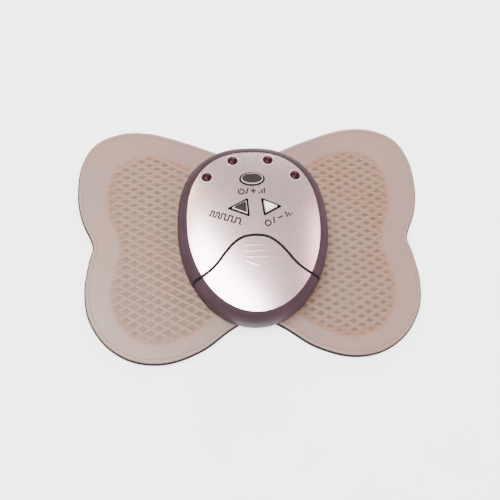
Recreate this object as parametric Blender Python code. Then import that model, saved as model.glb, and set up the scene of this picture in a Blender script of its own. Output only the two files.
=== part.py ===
"""Cordless muscle-stimulator massager: a butterfly gel pad with a snap-on controller.

Run it with: blender --background --python part.py
Metres, +Z up. The origin is on the floor, under the centre of the pad.
+X is the user's right, -Y is the end that the battery door slides off.
"""
import math

import bmesh
import bpy
from mathutils import Vector

MM = 0.001

# ---- pad (all driving dimensions are in millimetres) ----
PAD_THICK = 2.4           # silicone sheet
PAD_EDGE = 0.5            # rounding of the sheet's edge
RECESS_TOP = 1.5          # ceiling of the recess that holds electrode and gel
GEL_THICK = 0.7
FILM_LOW, FILM_HIGH = 1.0, 1.2
FLEX_X = 46.0             # the line along which a wing bends
FLEX_GAP = 0.65           # half the gap at that line
TOUCH = 0.3               # gap between pieces that touch

# Right half of the butterfly outline, front valley to rear valley.
PAD_HALF = [(12, -46.2), (27, -56.4), (44, -61.9), (60, -60.2), (73, -51.8), (81.2, -38.5),
            (83.2, -24), (81.4, -10), (79.6, -2.5), (81.2, 3), (85.4, 13), (87.5, 26),
            (86.2, 42), (79.5, 55), (66, 61.5), (50, 61.3), (30, 54.8), (12, 47.6)]
PAD_FRONT, PAD_REAR = -41.0, 45.5
# Right conductive zone, counter-clockwise from its inner front corner.
ZONE = [(13, -26), (16.5, -35.5), (24, -41.8), (34, -48), (46, -51.8), (57, -49.5), (66, -41),
        (69.5, -28), (68.5, -18), (65.5, -6), (66.5, 3), (71, 15), (72, 28), (68, 40), (60, 46),
        (50, 47.5), (39, 44.3), (28, 38.6), (17.5, 33), (13, 24), (13, 0)]

# ---- controller case ----
CASE_Y = 3.0              # centre of the egg outline
EGG_A, EGG_REAR, EGG_FRONT = 32.5, 38.4, 44.85
EGG_POWER_REAR, EGG_POWER_FRONT = 2.4, 2.0
RIM_Z = 16.2              # where the silver face meets the skirt
DOME_H, DOME_POWER = 3.4, 2.4
WALL = 1.4
CASE_Z = 3.0              # underside of the case
FLOOR = 1.2
FLOOR_REAR = -18.0        # rear end of the stretch of floor under the door
SEGMENTS = 52
# Skirt profile: how far it stands out from the rim, and its height.
SKIRT = [(0.3, 15.85), (1.8, 15.3), (3.2, 14.1), (4.3, 11.9), (4.8, 9.2), (4.9, 3.5), (4.5, CASE_Z)]
SKIRT_OUT = 4.9

# Right half of the battery door's arched edge, from the middle outwards.
ARCH = [(0, -4.4), (5.5, -5.2), (10.2, -8.0), (14.6, -12.6), (17.8, -16.8), (21.4, -20.4),
        (25.8, -23.4), (30, -25.4), (42, -29)]
DOOR_GAP = 0.35

# ---- buttons, lamps and what is under them ----
ON_POS, ON_HOLE = (0.2, 25.4), (6.4, 4.0)
PROGRAM_TRI = [(-13.2, 9.5), (-2.0, 4.7), (-2.4, 15.0)]
OFF_TRI = [(3.8, 14.9), (4.8, 4.9), (14.3, 10.1)]
KEY_GAP = 0.3
KEY_PROUD = 1.0
FLANGE = 1.0              # how far a key's retaining flange stands out under the face
FLANGE_THICK = 1.0
STEM_LOW = 14.1
LED_POS = [(-22.1, 27.7), (-8.9, 36.5), (8.9, 36.5), (22.1, 27.7)]
LED_R = 2.2
SWITCH_POS = {"on": (0.2, 25.4), "program": (-4.6, 11.9), "off": (6.6, 11.9)}
BOARD_LOW, BOARD_HIGH = 9.4, 11.0
BOARD_FRONT = 9.0
SNAP_X, SNAP_Y = 20.0, 0.5
DOME_R = 6.0              # dome over each snap in the case's floor
SCREW_POS = [(-27.0, -11.0), (27.0, -11.0), (-24.0, 17.0), (24.0, 17.0)]
PILLAR_R, BOSS_R = 3.5, 2.6
PILLAR_TOP = 6.8
BOSS_TOP, PILOT_R, PILOT_TOP = 16.4, 1.3, 13.0

# ---- battery bay for two AAA cells ----
BAY_WALL = 1.1
BAY_SIDE_TOP = 11.0
CELL_R, CELL_LEN, NUB_R, NUB_LEN = 5.25, 43.4, 1.9, 1.1
CELL_X, CELL_Z = 5.6, 9.75
CELL_FRONT = -38.2
BAY_HALF = 11.4
BAY_TOP = 13.0
PLATE = 0.4               # contact plates

# ---- reach of the blocks that cut: past every piece ----
PAST_X, PAST_Y = 95.0, 70.0
UNDER, OVER = -5.0, 30.0


# ---------------------------------------------------------------- helpers
def clear_scene():
    for obj in list(bpy.data.objects):
        bpy.data.objects.remove(obj, do_unlink=True)


def material(name, colour, roughness, metallic=0.0):
    mat = bpy.data.materials.get(name)
    if mat is None:
        mat = bpy.data.materials.new(name)
        mat.use_nodes = True
        shader = mat.node_tree.nodes["Principled BSDF"]
        shader.inputs["Base Color"].default_value = (*colour, 1)
        shader.inputs["Roughness"].default_value = roughness
        shader.inputs["Metallic"].default_value = metallic
    return mat


MATERIALS = {
    "silicone": ((0.52, 0.42, 0.36), 0.45, 0.0),
    "gel": ((0.75, 0.68, 0.55), 0.2, 0.0),
    "film": ((0.34, 0.27, 0.20), 0.6, 0.0),
    "silver": ((0.66, 0.61, 0.58), 0.3, 0.9),
    "mauve": ((0.11, 0.07, 0.09), 0.35, 0.0),
    "dark_key": ((0.09, 0.07, 0.08), 0.4, 0.0),
    "white_key": ((0.85, 0.84, 0.80), 0.35, 0.0),
    "lamp": ((0.10, 0.005, 0.01), 0.15, 0.0),
    "board": ((0.02, 0.16, 0.06), 0.5, 0.0),
    "black_plastic": ((0.02, 0.02, 0.02), 0.5, 0.0),
    "cell_jacket": ((0.20, 0.20, 0.22), 0.35, 0.6),
    "steel": ((0.60, 0.60, 0.60), 0.3, 1.0),
    "copper": ((0.72, 0.35, 0.20), 0.35, 1.0),
    "wire_jacket": ((0.45, 0.03, 0.03), 0.5, 0.0),
}


def smooth_curve(points, steps, closed):
    """Catmull-Rom curve through the points."""
    count = len(points)
    curve = []
    for i in range(count if closed else count - 1):
        if closed:
            near = [points[(i + j - 1) % count] for j in range(4)]
        else:
            near = [points[min(max(i + j - 1, 0), count - 1)] for j in range(4)]
        p0, p1, p2, p3 = (Vector(p) for p in near)
        for k in range(steps):
            u = k / steps
            curve.append(0.5 * (2 * p1 + (p2 - p0) * u + (2 * p0 - 5 * p1 + 4 * p2 - p3) * u ** 2
                                + (3 * p1 - p0 - 3 * p2 + p3) * u ** 3))
    if not closed:
        curve.append(Vector(points[-1]))
    return [(p.x, p.y) for p in curve]


def ellipse(centre, a, b, count=24):
    turns = [2 * math.pi * i / count for i in range(count)]
    return [(centre[0] + a * math.cos(t), centre[1] + b * math.sin(t)) for t in turns]


def egg(offset=0.0, scale=1.0, count=SEGMENTS):
    """The case's outline, grown by offset or shrunk to scale about its centre."""
    ring = []
    for i in range(count):
        turn = 2 * math.pi * (i + 0.5) / count
        c, s = math.cos(turn), math.sin(turn)
        power = EGG_POWER_REAR if s > 0 else EGG_POWER_FRONT
        length = EGG_REAR if s > 0 else EGG_FRONT
        x = (EGG_A + offset) * scale * math.copysign(abs(c) ** (2 / power), c)
        y = (length + offset) * scale * math.copysign(abs(s) ** (2 / power), s)
        ring.append((x, CASE_Y + y))
    return ring


def dome_z(scale):
    return RIM_Z + DOME_H * (1 - scale ** DOME_POWER)


def face_z(x, y):
    """Height of the silver face above a point of the plan."""
    length = EGG_REAR if y > CASE_Y else EGG_FRONT
    power = EGG_POWER_REAR if y > CASE_Y else EGG_POWER_FRONT
    reach = abs(x / EGG_A) ** power + abs((y - CASE_Y) / length) ** power
    return dome_z(min(reach ** (1 / power), 1.0))


def inset(points, distance):
    """Polygon moved inwards by distance; the points run counter-clockwise."""
    moved = []
    for i, point in enumerate(points):
        here = Vector(point)
        before = (here - Vector(points[i - 1])).normalized()
        after = (Vector(points[(i + 1) % len(points)]) - here).normalized()
        normal = (Vector((-before.y, before.x)) + Vector((-after.y, after.x))).normalized()
        share = max(normal.dot(Vector((-after.y, after.x))), 0.35)
        moved.append(tuple(here + normal * (distance / share)))
    return moved


def loft(name, rings, centre=(0.0, 0.0, 0.0)):
    """Closed solid through rings of (x, y, z) points, the first and last ring filled."""
    bm = bmesh.new()
    rows = [[bm.verts.new((Vector(p) - Vector(centre)) * MM) for p in ring] for ring in rings]
    count = len(rings[0])
    for low, high in zip(rows, rows[1:]):
        for i in range(count):
            j = (i + 1) % count
            bm.faces.new((low[i], low[j], high[j], high[i]))
    bm.faces.new(list(reversed(rows[0])))
    bm.faces.new(rows[-1])
    bmesh.ops.recalc_face_normals(bm, faces=bm.faces)
    mesh = bpy.data.meshes.new(name)
    bm.to_mesh(mesh)
    bm.free()
    obj = bpy.data.objects.new(name, mesh)
    obj.location = Vector(centre) * MM
    bpy.context.collection.objects.link(obj)
    return obj


def ring_at(points, z):
    return [(x, y, z) for x, y in points]


def prism(name, points, low, high, edge=0.0, centre=(0.0, 0.0, 0.0)):
    """Upright solid on an outline, with its top and bottom edges eased by edge."""
    if edge == 0:
        return loft(name, [ring_at(points, low), ring_at(points, high)], centre)
    inner = inset(points, edge)
    return loft(name, [ring_at(inner, low), ring_at(points, low + edge),
                       ring_at(points, high - edge), ring_at(inner, high)], centre)


def block(name, x, y, z, centre=(0.0, 0.0, 0.0)):
    return prism(name, [(x[0], y[0]), (x[1], y[0]), (x[1], y[1]), (x[0], y[1])], *z,
                 centre=centre)


def turned(name, centre, profile, count=16):
    """Solid of revolution about Z from (radius, z) pairs, bottom to top."""
    return loft(name, [ring_at(ellipse(centre, r, r, count), z) for r, z in profile],
                (*centre, 0.0))


def turned_y(name, x, z, profile, count=20):
    """Solid of revolution about Y from (radius, y) pairs, front to rear."""
    rings = []
    for r, y in profile:
        turns = [2 * math.pi * i / count for i in range(count)]
        rings.append([(x + r * math.cos(t), y, z - r * math.sin(t)) for t in turns])
    return loft(name, rings)


def boolean(target, tool, operation):
    mod = target.modifiers.new(tool.name, "BOOLEAN")
    mod.operation = operation
    mod.object = tool
    tool.hide_render = True
    tool.display_type = "WIRE"


def combine(target, adds=(), cuts=(), keep=None):
    """Union, then difference, then intersection, kept as live modifiers."""
    for tool in adds:
        boolean(target, tool, "UNION")
    for tool in cuts:
        boolean(target, tool, "DIFFERENCE")
    if keep:
        boolean(target, keep, "INTERSECT")


def finish(obj, slot, smooth=True):
    colour, roughness, metallic = MATERIALS[slot]
    obj.data.materials.append(material(slot, colour, roughness, metallic))
    if smooth:
        obj.data.shade_smooth()
        obj.data.set_sharp_from_angle(angle=math.radians(32))
    return obj


def tube(name, points, radius, slot):
    """Round wire through (x, y, z) points."""
    curve = bpy.data.curves.new(name, "CURVE")
    curve.dimensions = "3D"
    curve.bevel_depth = radius * MM
    curve.bevel_resolution = 2
    curve.use_fill_caps = True
    spline = curve.splines.new("POLY")
    spline.points.add(len(points) - 1)
    for knot, point in zip(spline.points, points):
        knot.co = (*(Vector(point) * MM), 1)
    obj = bpy.data.objects.new(name, curve)
    bpy.context.collection.objects.link(obj)
    colour, roughness, metallic = MATERIALS[slot]
    curve.materials.append(material(slot, colour, roughness, metallic))
    return obj


def mirrored(points):
    """The same outline on the other side, still counter-clockwise."""
    return [(-x, y) for x, y in reversed(points)]


# ---------------------------------------------------------------- pad
def pad_outline():
    left = [(-x, y) for x, y in reversed(PAD_HALF)]
    return smooth_curve([(0, PAD_FRONT)] + PAD_HALF + [(0, PAD_REAR)] + left, 3, True)


def flex_side(name, side, inner, outer):
    """Block that keeps the stretch of one side between two distances from the middle."""
    x = sorted((side * inner, side * outer))
    return block(name, x, (-PAST_Y, PAST_Y), (UNDER, OVER))


def zone_outline(side, grow=0.0):
    outline = smooth_curve(ZONE, 3, True)
    outline = inset(outline, -grow) if grow else outline
    return outline if side > 0 else mirrored(outline)


def make_pad():
    whole = pad_outline()
    inner, outer = FLEX_X - FLEX_GAP, FLEX_X + FLEX_GAP
    recess = {}
    for side, word in ((-1, "left"), (1, "right")):
        recess[word] = prism(f"cut_recess_{word}", zone_outline(side), UNDER, RECESS_TOP)

    centre = prism("pad_centre", whole, 0.0, PAD_THICK, PAD_EDGE)
    posts = [turned(f"cut_post_{side}", (side * SNAP_X, SNAP_Y), [(1.7, UNDER), (1.7, OVER)])
             for side in (-1, 1)]
    combine(centre, cuts=[recess["left"], recess["right"], *posts],
            keep=block("keep_centre", (-inner, inner), (-PAST_Y, PAST_Y), (UNDER, OVER)))
    finish(centre, "silicone")

    for side, word in ((-1, "left"), (1, "right")):
        hinge = (side * FLEX_X, 0.0, PAD_THICK / 2)
        wing = prism(f"pad_wing_{word}", whole, 0.0, PAD_THICK, PAD_EDGE, hinge)
        keep = flex_side(f"keep_wing_{word}", side, outer, PAST_X)
        combine(wing, cuts=[recess[word]], keep=keep)
        finish(wing, "silicone")
        make_layers(side, word, hinge)
        make_snap_socket(side, word)


def make_layers(side, word, hinge):
    """Conductive film and gel in the recess, each in a centre and a wing piece."""
    outline = zone_outline(side, -TOUCH)
    stretches = {"centre": (0.0, FLEX_X - FLEX_GAP, (0, 0, 0)),
                 "wing": (FLEX_X + FLEX_GAP, PAST_X, hinge)}
    for place, (near, far, origin) in stretches.items():
        keep = flex_side(f"keep_{place}_layers_{word}", side, near, far)
        film = prism(f"electrode_{place}_{word}", outline, FILM_LOW, FILM_HIGH, centre=origin)
        combine(film, keep=keep)
        finish(film, "film")
        gel = prism(f"gel_{place}_{word}", outline, 0.0, GEL_THICK, centre=origin)
        combine(gel, keep=keep)
        finish(gel, "gel")


def make_snap_socket(side, word):
    """Rivetted snap socket: post through the sheet, flange on top, open cup for the stud."""
    post, flange, rim, cup = 1.35, 4.6, 4.1, 2.55
    base = PAD_THICK + TOUCH
    profile = [(post, RECESS_TOP), (post, base), (flange, base), (flange, base + 0.4),
               (rim, base + 0.6), (rim, base + 1.9), (rim - 0.4, base + 2.2),
               (cup, base + 2.2), (cup, base + 0.6)]
    finish(turned(f"snap_socket_{word}", (side * SNAP_X, SNAP_Y), profile), "steel")


# ---------------------------------------------------------------- controller case
def arch_line(gap):
    """The door's arched edge from left to right, moved forward by gap."""
    right = smooth_curve(ARCH, 3, False)
    line = [(-x, y) for x, y in reversed(right)] + right[1:]
    return [(x, y - gap) for x, y in line]


def door_plan(gap):
    """Everything in front of the arched edge, counter-clockwise."""
    return [(-50, -PAST_Y), (50, -PAST_Y), *reversed(arch_line(gap))]


def skirt_ring(offset, z):
    return ring_at(egg(offset), z)


def dome_rings(drop, shrink, scales):
    """Rings of the dome, lowered by drop and pulled in by shrink."""
    return [ring_at(egg(-shrink, s), dome_z(s) - drop) for s in scales]


DOME_STEPS = (1.0, 0.95, 0.85, 0.7, 0.5, 0.2)


def make_upper_cover(door_cut):
    """Silver face: a dome with key holes, lamp holes and four screw bosses."""
    edge = RIM_Z - 0.05
    inner = dome_rings(WALL, WALL, DOME_STEPS)
    inner = [ring for ring in inner if ring[0][2] > edge + 0.1]
    outer = dome_rings(0.0, 0.0, reversed(DOME_STEPS))
    cover = loft("upper_cover", [*reversed(inner), ring_at(egg(-2 * WALL), edge),
                                 ring_at(egg(-0.25), edge), *reversed(outer)])
    holes = [prism("cut_on_hole", ellipse(ON_POS, *ON_HOLE), UNDER, OVER),
             prism("cut_program_hole", PROGRAM_TRI, UNDER, OVER),
             prism("cut_off_hole", OFF_TRI, UNDER, OVER)]
    holes += [turned(f"cut_led_{i}", spot, [(LED_R + TOUCH, UNDER), (LED_R + TOUCH, OVER)])
              for i, spot in enumerate(LED_POS)]
    pilots = [turned(f"cut_pilot_{i}", spot, [(PILOT_R, UNDER), (PILOT_R, PILOT_TOP)], 12)
              for i, spot in enumerate(SCREW_POS)]
    bosses = [turned(f"add_boss_{i}", spot, [(BOSS_R, PILLAR_TOP + TOUCH), (BOSS_R, BOSS_TOP)])
              for i, spot in enumerate(SCREW_POS)]
    combine(cover, adds=bosses, cuts=[door_cut, *holes, *pilots])
    finish(cover, "silver")


def make_lower_case(door_cut):
    """Tub with a skirt, a front floor, the battery bay, snap domes and screw pillars."""
    outer = [skirt_ring(off, z) for off, z in reversed(SKIRT)]
    inner = [skirt_ring(off - WALL, z) for off, z in SKIRT[:-2]]
    inner.append(skirt_ring(SKIRT_OUT - WALL, CASE_Z + FLOOR))
    tub = loft("lower_case", [*outer, *inner])

    floor_top = CASE_Z + FLOOR
    outline = egg(SKIRT_OUT - WALL - 0.4)
    front_floor = prism("add_front_floor", outline, CASE_Z, floor_top)
    rear_floor = block("cut_rear_floor", (-PAST_X, PAST_X), (FLOOR_REAR, PAST_Y), (UNDER, OVER))
    boolean(front_floor, rear_floor, "DIFFERENCE")
    side, wall = BAY_HALF, BAY_WALL
    bay_front, bay_rear = CELL_FRONT - 1.2, CELL_FRONT + CELL_LEN + NUB_LEN + 1.1
    low = floor_top - 0.4
    bay = [block(f"add_bay_{word}", sorted((sign * side, sign * (side + wall))),
                 (bay_front - wall, bay_rear + wall), (low, BAY_SIDE_TOP))
           for sign, word in ((-1, "left"), (1, "right"))]
    bay.append(block("add_bay_front", (-side - 0.5, side + 0.5), (bay_front - wall, bay_front),
                     (low, BAY_SIDE_TOP)))
    bay.append(block("add_bay_rear", (-side - 0.5, side + 0.5), (bay_rear, bay_rear + wall),
                     (low, BAY_TOP)))
    domes = [turned(f"add_dome_{sign}", (sign * SNAP_X, SNAP_Y), [(DOME_R + 1.2, low),
                    (DOME_R + 1.2, 6.6), (DOME_R + 0.6, 7.2)]) for sign in (-1, 1)]
    pillars = [turned(f"add_pillar_{i}", spot, [(PILLAR_R, low), (PILLAR_R, PILLAR_TOP)])
               for i, spot in enumerate(SCREW_POS)]
    pockets = [turned(f"cut_pocket_{sign}", (sign * SNAP_X, SNAP_Y),
                      [(DOME_R, UNDER), (DOME_R, 6.0)]) for sign in (-1, 1)]
    necks = [turned(f"cut_neck_{sign}", (sign * SNAP_X, SNAP_Y), [(1.5, 5), (1.5, 9)], 12)
             for sign in (-1, 1)]
    sinks = [turned(f"cut_sink_{i}", spot, [(2.6, UNDER), (2.6, 5.4)])
             for i, spot in enumerate(SCREW_POS)]
    shanks = [turned(f"cut_shank_{i}", spot, [(1.4, 5), (1.4, 9)], 12)
              for i, spot in enumerate(SCREW_POS)]
    boolean(tub, door_cut, "DIFFERENCE")
    combine(tub, adds=[front_floor, *bay, *domes, *pillars],
            cuts=[*pockets, *necks, *sinks, *shanks])
    finish(tub, "mauve")


def make_battery_door():
    """Front of the face and skirt in one shell, cut along the arched edge."""
    skirt_low = CASE_Z + 0.4
    skirt = [(off, z) for off, z in SKIRT if z > skirt_low + 0.2]
    outer = dome_rings(0.0, 0.0, reversed(DOME_STEPS))
    outer += [skirt_ring(off, z) for off, z in skirt[1:]]
    outer.append(skirt_ring(SKIRT_OUT, skirt_low))
    inner = [skirt_ring(SKIRT_OUT - WALL, skirt_low)]
    inner += [skirt_ring(off - WALL, z - 0.3) for off, z in reversed(skirt[1:])]
    inner += dome_rings(WALL, WALL, DOME_STEPS[1:])
    door = loft("battery_door", [*outer, *inner])
    boolean(door, prism("keep_door", door_plan(DOOR_GAP), UNDER, OVER), "INTERSECT")
    finish(door, "silver")


# ---------------------------------------------------------------- keys and lamps
def make_key(name, outline, slot, centre, edge, flange_top):
    """Key with an eased top, a flange under the face and a stem over its switch."""
    x, y = centre
    top = face_z(x, y) + KEY_PROUD
    body = inset(outline, KEY_GAP)
    flange = inset(outline, -FLANGE)
    stem = inset(outline, 1.6)
    flange_low = flange_top - FLANGE_THICK
    rings = [ring_at(stem, STEM_LOW), ring_at(stem, flange_low), ring_at(flange, flange_low),
             ring_at(flange, flange_top), ring_at(body, flange_top), ring_at(body, top - edge),
             ring_at(inset(outline, KEY_GAP + edge), top)]
    finish(loft(name, rings, (x, y, top)), slot)


def make_lamps():
    for i, (x, y) in enumerate(LED_POS):
        top = face_z(x, y) + 0.35
        low = BOARD_HIGH + TOUCH
        profile = [(LED_R + 0.5, low), (LED_R + 0.5, low + 0.9), (LED_R, low + 0.9),
                   (LED_R, top - 1.2), (LED_R * 0.85, top - 0.5), (LED_R * 0.5, top - 0.1),
                   (LED_R * 0.15, top)]
        finish(turned(f"led_{i + 1}", (x, y), profile), "lamp")


def make_switch(name, centre):
    """Tact switch: square body and round plunger."""
    x, y = centre
    low = BOARD_HIGH + TOUCH
    body = block(name, (x - 2.6, x + 2.6), (y - 2.6, y + 2.6), (low, low + 1.4))
    plunger = turned(f"add_{name}_plunger", centre, [(1.4, low + 1.0), (1.4, low + 1.8)], 12)
    boolean(body, plunger, "UNION")
    finish(body, "black_plastic")


# ---------------------------------------------------------------- inside the case
def make_board():
    """Circuit board behind the battery bay, with clearance for the screw bosses."""
    board = prism("main_board", egg(0.6), BOARD_LOW, BOARD_HIGH)
    front = block("cut_board_front", (-PAST_X, PAST_X), (-PAST_Y, BOARD_FRONT), (UNDER, OVER))
    bosses = [turned(f"cut_board_boss_{i}", spot, [(BOSS_R + 0.4, 5), (BOSS_R + 0.4, 15)])
              for i, spot in enumerate(SCREW_POS[2:])]
    combine(board, cuts=[front, *bosses])
    finish(board, "board")


def make_components():
    """Parts soldered to the board: one chip on top, coil and capacitor below."""
    top = BOARD_HIGH + TOUCH
    low = BOARD_LOW - TOUCH
    finish(block("control_chip", (-14.5, -8.5), (20.5, 26.5), (top, top + 1.4)),
           "black_plastic", smooth=False)
    finish(turned("boost_coil", (9, 24), [(4.0, 4.8), (4.0, 5.6), (3.0, 6.0), (3.0, 8.0),
                                          (4.0, 8.4), (4.0, low)]), "copper")
    finish(turned_y("storage_capacitor", -9, 6.7, [(2.0, 18), (2.3, 18.4), (2.3, 19.2),
                                                   (2.1, 19.6), (2.3, 20.0), (2.3, 28.6),
                                                   (2.0, 29)]), "black_plastic")


def make_cells():
    """Two AAA cells lying along Y, head to tail."""
    for side, word in ((-1, "left"), (1, "right")):
        body = [(CELL_R - 0.5, 0.0), (CELL_R, 0.4), (CELL_R, CELL_LEN - 0.4),
                (CELL_R - 0.5, CELL_LEN), (NUB_R, CELL_LEN), (NUB_R, CELL_LEN + NUB_LEN - 0.2),
                (NUB_R - 0.3, CELL_LEN + NUB_LEN)]
        whole = CELL_LEN + NUB_LEN
        if side > 0:
            body = [(r, whole - y) for r, y in reversed(body)]
        profile = [(r, CELL_FRONT + y) for r, y in body]
        finish(turned_y(f"cell_{word}", side * CELL_X, CELL_Z, profile), "cell_jacket")


def make_contacts():
    """Sprung plates: one bridges the cells in front, two take the current behind."""
    low, high = CASE_Z + FLOOR + TOUCH, 13.2
    front = CELL_FRONT - TOUCH
    rear = CELL_FRONT + CELL_LEN + NUB_LEN + TOUCH
    reach = BAY_HALF - TOUCH
    finish(block("contact_bridge", (-reach, reach), (front - PLATE, front), (low, high)),
           "steel", smooth=False)
    finish(block("contact_positive", (-reach, -0.5), (rear, rear + PLATE), (low, high)),
           "steel", smooth=False)
    finish(block("contact_negative", (0.5, reach), (rear, rear + PLATE), (low, high)),
           "steel", smooth=False)


def make_studs():
    """Snap studs rivetted through the floor domes, each with a lead to the board."""
    for side, word in ((-1, "left"), (1, "right")):
        x, y = side * SNAP_X, SNAP_Y
        profile = [(0.9, 3.6), (1.7, 3.8), (2.1, 4.3), (1.8, 4.9), (1.2, 5.2), (1.2, 5.4),
                   (3.2, 5.4), (3.2, 5.7), (1.2, 5.7), (1.2, 7.5), (2.4, 7.5), (2.4, 8.0)]
        finish(turned(f"snap_stud_{word}", (x, y), profile), "steel")
        route = [(x, y + 1.2, 8.8), (x, y + 3.5, 9.0), (x, y + 6, 8.3), (x, y + 8.5, 7.5),
                 (x, y + 11, 7.3), (x, y + 12.6, 7.9), (x, y + 13, 8.7)]
        tube(f"stud_lead_{word}", smooth_curve_3d(route), 0.5, "wire_jacket")


def smooth_curve_3d(points, steps=2):
    plan = smooth_curve([(p[1], p[2]) for p in points], steps, False)
    return [(points[0][0], y, z) for y, z in plan]


def make_screws():
    """Pan-head screws from below into the cover's bosses, each with a crossed recess."""
    for i, (x, y) in enumerate(SCREW_POS):
        profile = [(2.0, 3.5), (2.3, 3.9), (2.3, 5.1), (1.0, 5.1), (1.0, 12.2), (0.4, 12.7)]
        screw = turned(f"case_screw_{i + 1}", (x, y), profile, 12)
        slots = [block(f"cut_slot_{i}_x", (x - 1.3, x + 1.3), (y - 0.25, y + 0.25), (3.0, 4.2)),
                 block(f"cut_slot_{i}_y", (x - 0.25, x + 0.25), (y - 1.3, y + 1.3), (3.0, 4.2))]
        combine(screw, cuts=slots)
        finish(screw, "steel")


def main():
    clear_scene()
    make_pad()
    door_cut = prism("cut_door", door_plan(0.0), UNDER, OVER)
    make_upper_cover(door_cut)
    make_lower_case(door_cut)
    make_battery_door()
    make_key("on_button", ellipse(ON_POS, *ON_HOLE), "dark_key", ON_POS, 0.5, 16.2)
    make_key("program_button", PROGRAM_TRI, "dark_key", SWITCH_POS["program"], 0.6, 17.2)
    make_key("off_button", OFF_TRI, "white_key", SWITCH_POS["off"], 0.6, 17.2)
    make_lamps()
    for word, spot in SWITCH_POS.items():
        make_switch(f"{word}_switch", spot)
    make_board()
    make_components()
    make_cells()
    make_contacts()
    make_studs()
    make_screws()


main()
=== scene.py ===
"""Builds the looks of a cordless muscle-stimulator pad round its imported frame.

The object is a butterfly of moulded silicone with gel underneath, and an egg-shaped controller
snapped on its middle. Outlines are in millimetres; meshes and properties are in metres.
"""
import math

import bmesh
import bpy
from bpy.props import FloatProperty, IntProperty, PointerProperty, StringProperty
from mathutils import Matrix, Vector
from mathutils.kdtree import KDTree


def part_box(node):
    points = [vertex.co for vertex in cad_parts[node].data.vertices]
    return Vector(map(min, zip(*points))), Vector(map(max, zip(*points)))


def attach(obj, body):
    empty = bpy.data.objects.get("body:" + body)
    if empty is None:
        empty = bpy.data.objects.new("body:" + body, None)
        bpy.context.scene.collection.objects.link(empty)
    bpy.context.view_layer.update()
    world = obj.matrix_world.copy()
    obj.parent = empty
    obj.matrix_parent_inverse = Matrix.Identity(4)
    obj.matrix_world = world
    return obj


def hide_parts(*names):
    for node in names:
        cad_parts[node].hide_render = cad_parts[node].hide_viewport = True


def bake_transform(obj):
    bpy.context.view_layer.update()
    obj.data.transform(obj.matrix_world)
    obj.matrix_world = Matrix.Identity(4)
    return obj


bl_info = {
    "name": "Muscle Stimulator Pad",
    "version": (1, 0, 0),
    "blender": (4, 5, 0),
    "location": "View3D > Sidebar > Stimulator",
    "description": "Builds a butterfly gel pad with its snap-on controller",
    "category": "Object",
}

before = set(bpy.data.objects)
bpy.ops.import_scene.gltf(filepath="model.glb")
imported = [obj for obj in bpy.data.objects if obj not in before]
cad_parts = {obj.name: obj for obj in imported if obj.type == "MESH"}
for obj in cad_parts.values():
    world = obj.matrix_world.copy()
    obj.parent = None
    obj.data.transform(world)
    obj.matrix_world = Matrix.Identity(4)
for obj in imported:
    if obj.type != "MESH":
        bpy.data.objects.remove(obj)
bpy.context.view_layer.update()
MM = 0.001


def corner(node, which, axis):
    """One coordinate of a frame node's box, in metres: which is 0 for low and 1 for high."""
    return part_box(node)[which][axis]


# ---------------------------------------------------------------- outlines, in millimetres
# Right half of the butterfly, from the front valley to the rear valley.
PAD_HALF = [(12, -46.2), (27, -56.4), (44, -61.9), (60, -60.2), (73, -51.8), (81.2, -38.5),
            (83.2, -24), (81.4, -10), (79.6, -2.5), (81.2, 3), (85.4, 13), (87.5, 26),
            (86.2, 42), (79.5, 55), (66, 61.5), (50, 61.3), (30, 54.8), (12, 47.6)]
PAD_FRONT, PAD_REAR = (0, -41.0), (0, 45.5)
# Right conductive zone, counter-clockwise.
ZONE = [(13, -26), (16.5, -35.5), (24, -41.8), (34, -48), (46, -51.8), (57, -49.5), (66, -41),
        (69.5, -28), (68.5, -18), (65.5, -6), (66.5, 3), (71, 15), (72, 28), (68, 40), (60, 46),
        (50, 47.5), (39, 44.3), (28, 38.6), (17.5, 33), (13, 24), (13, 0)]
# Right half of the battery door's arched edge, from the middle outwards.
ARCH = [(0, -4.4), (5.5, -5.2), (10.2, -8.0), (14.6, -12.6), (17.8, -16.8), (21.4, -20.4),
        (25.8, -23.4), (30, -25.4), (42, -29)]
PROGRAM_TRI = [(-13.2, 9.5), (-2.0, 4.7), (-2.4, 15.0)]
OFF_TRI = [(3.8, 14.9), (4.8, 4.9), (14.3, 10.1)]
SEAM_MIDDLE = 0.175       # how far in front of that edge the seam's middle runs
ON_KEY = (6.4, 4.0)       # half axes of the oval hole
KEY_CORNER = 0.5          # radius of a triangular hole's corners
KEY_SHOWS = 0.85          # dark gap that shows round a key
LAMP_HOLE, LAMP_RADIUS = 2.6, 2.4
# the egg is a superellipse: squarer at the rear than at the front
EGG_POWER_REAR, EGG_POWER_FRONT = 2.4, 2.0
DOME_POWER = 2.4          # how flat the middle of the face is
NET_REACH_X, NET_REACH_Y = 0.173, 0.125   # metres that the net's grids span before trimming
THROUGH = (0, 30)         # heights between which a tool cuts through the whole case
ABOVE_FLOOR = (5, 25)     # the same, for a hole through the face only
SCREWS = ("case_screw_1", "case_screw_2", "case_screw_3", "case_screw_4")
LAMPS = ("led_1", "led_2", "led_3", "led_4")
SIDES = ((-1, "left"), (1, "right"))


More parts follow.
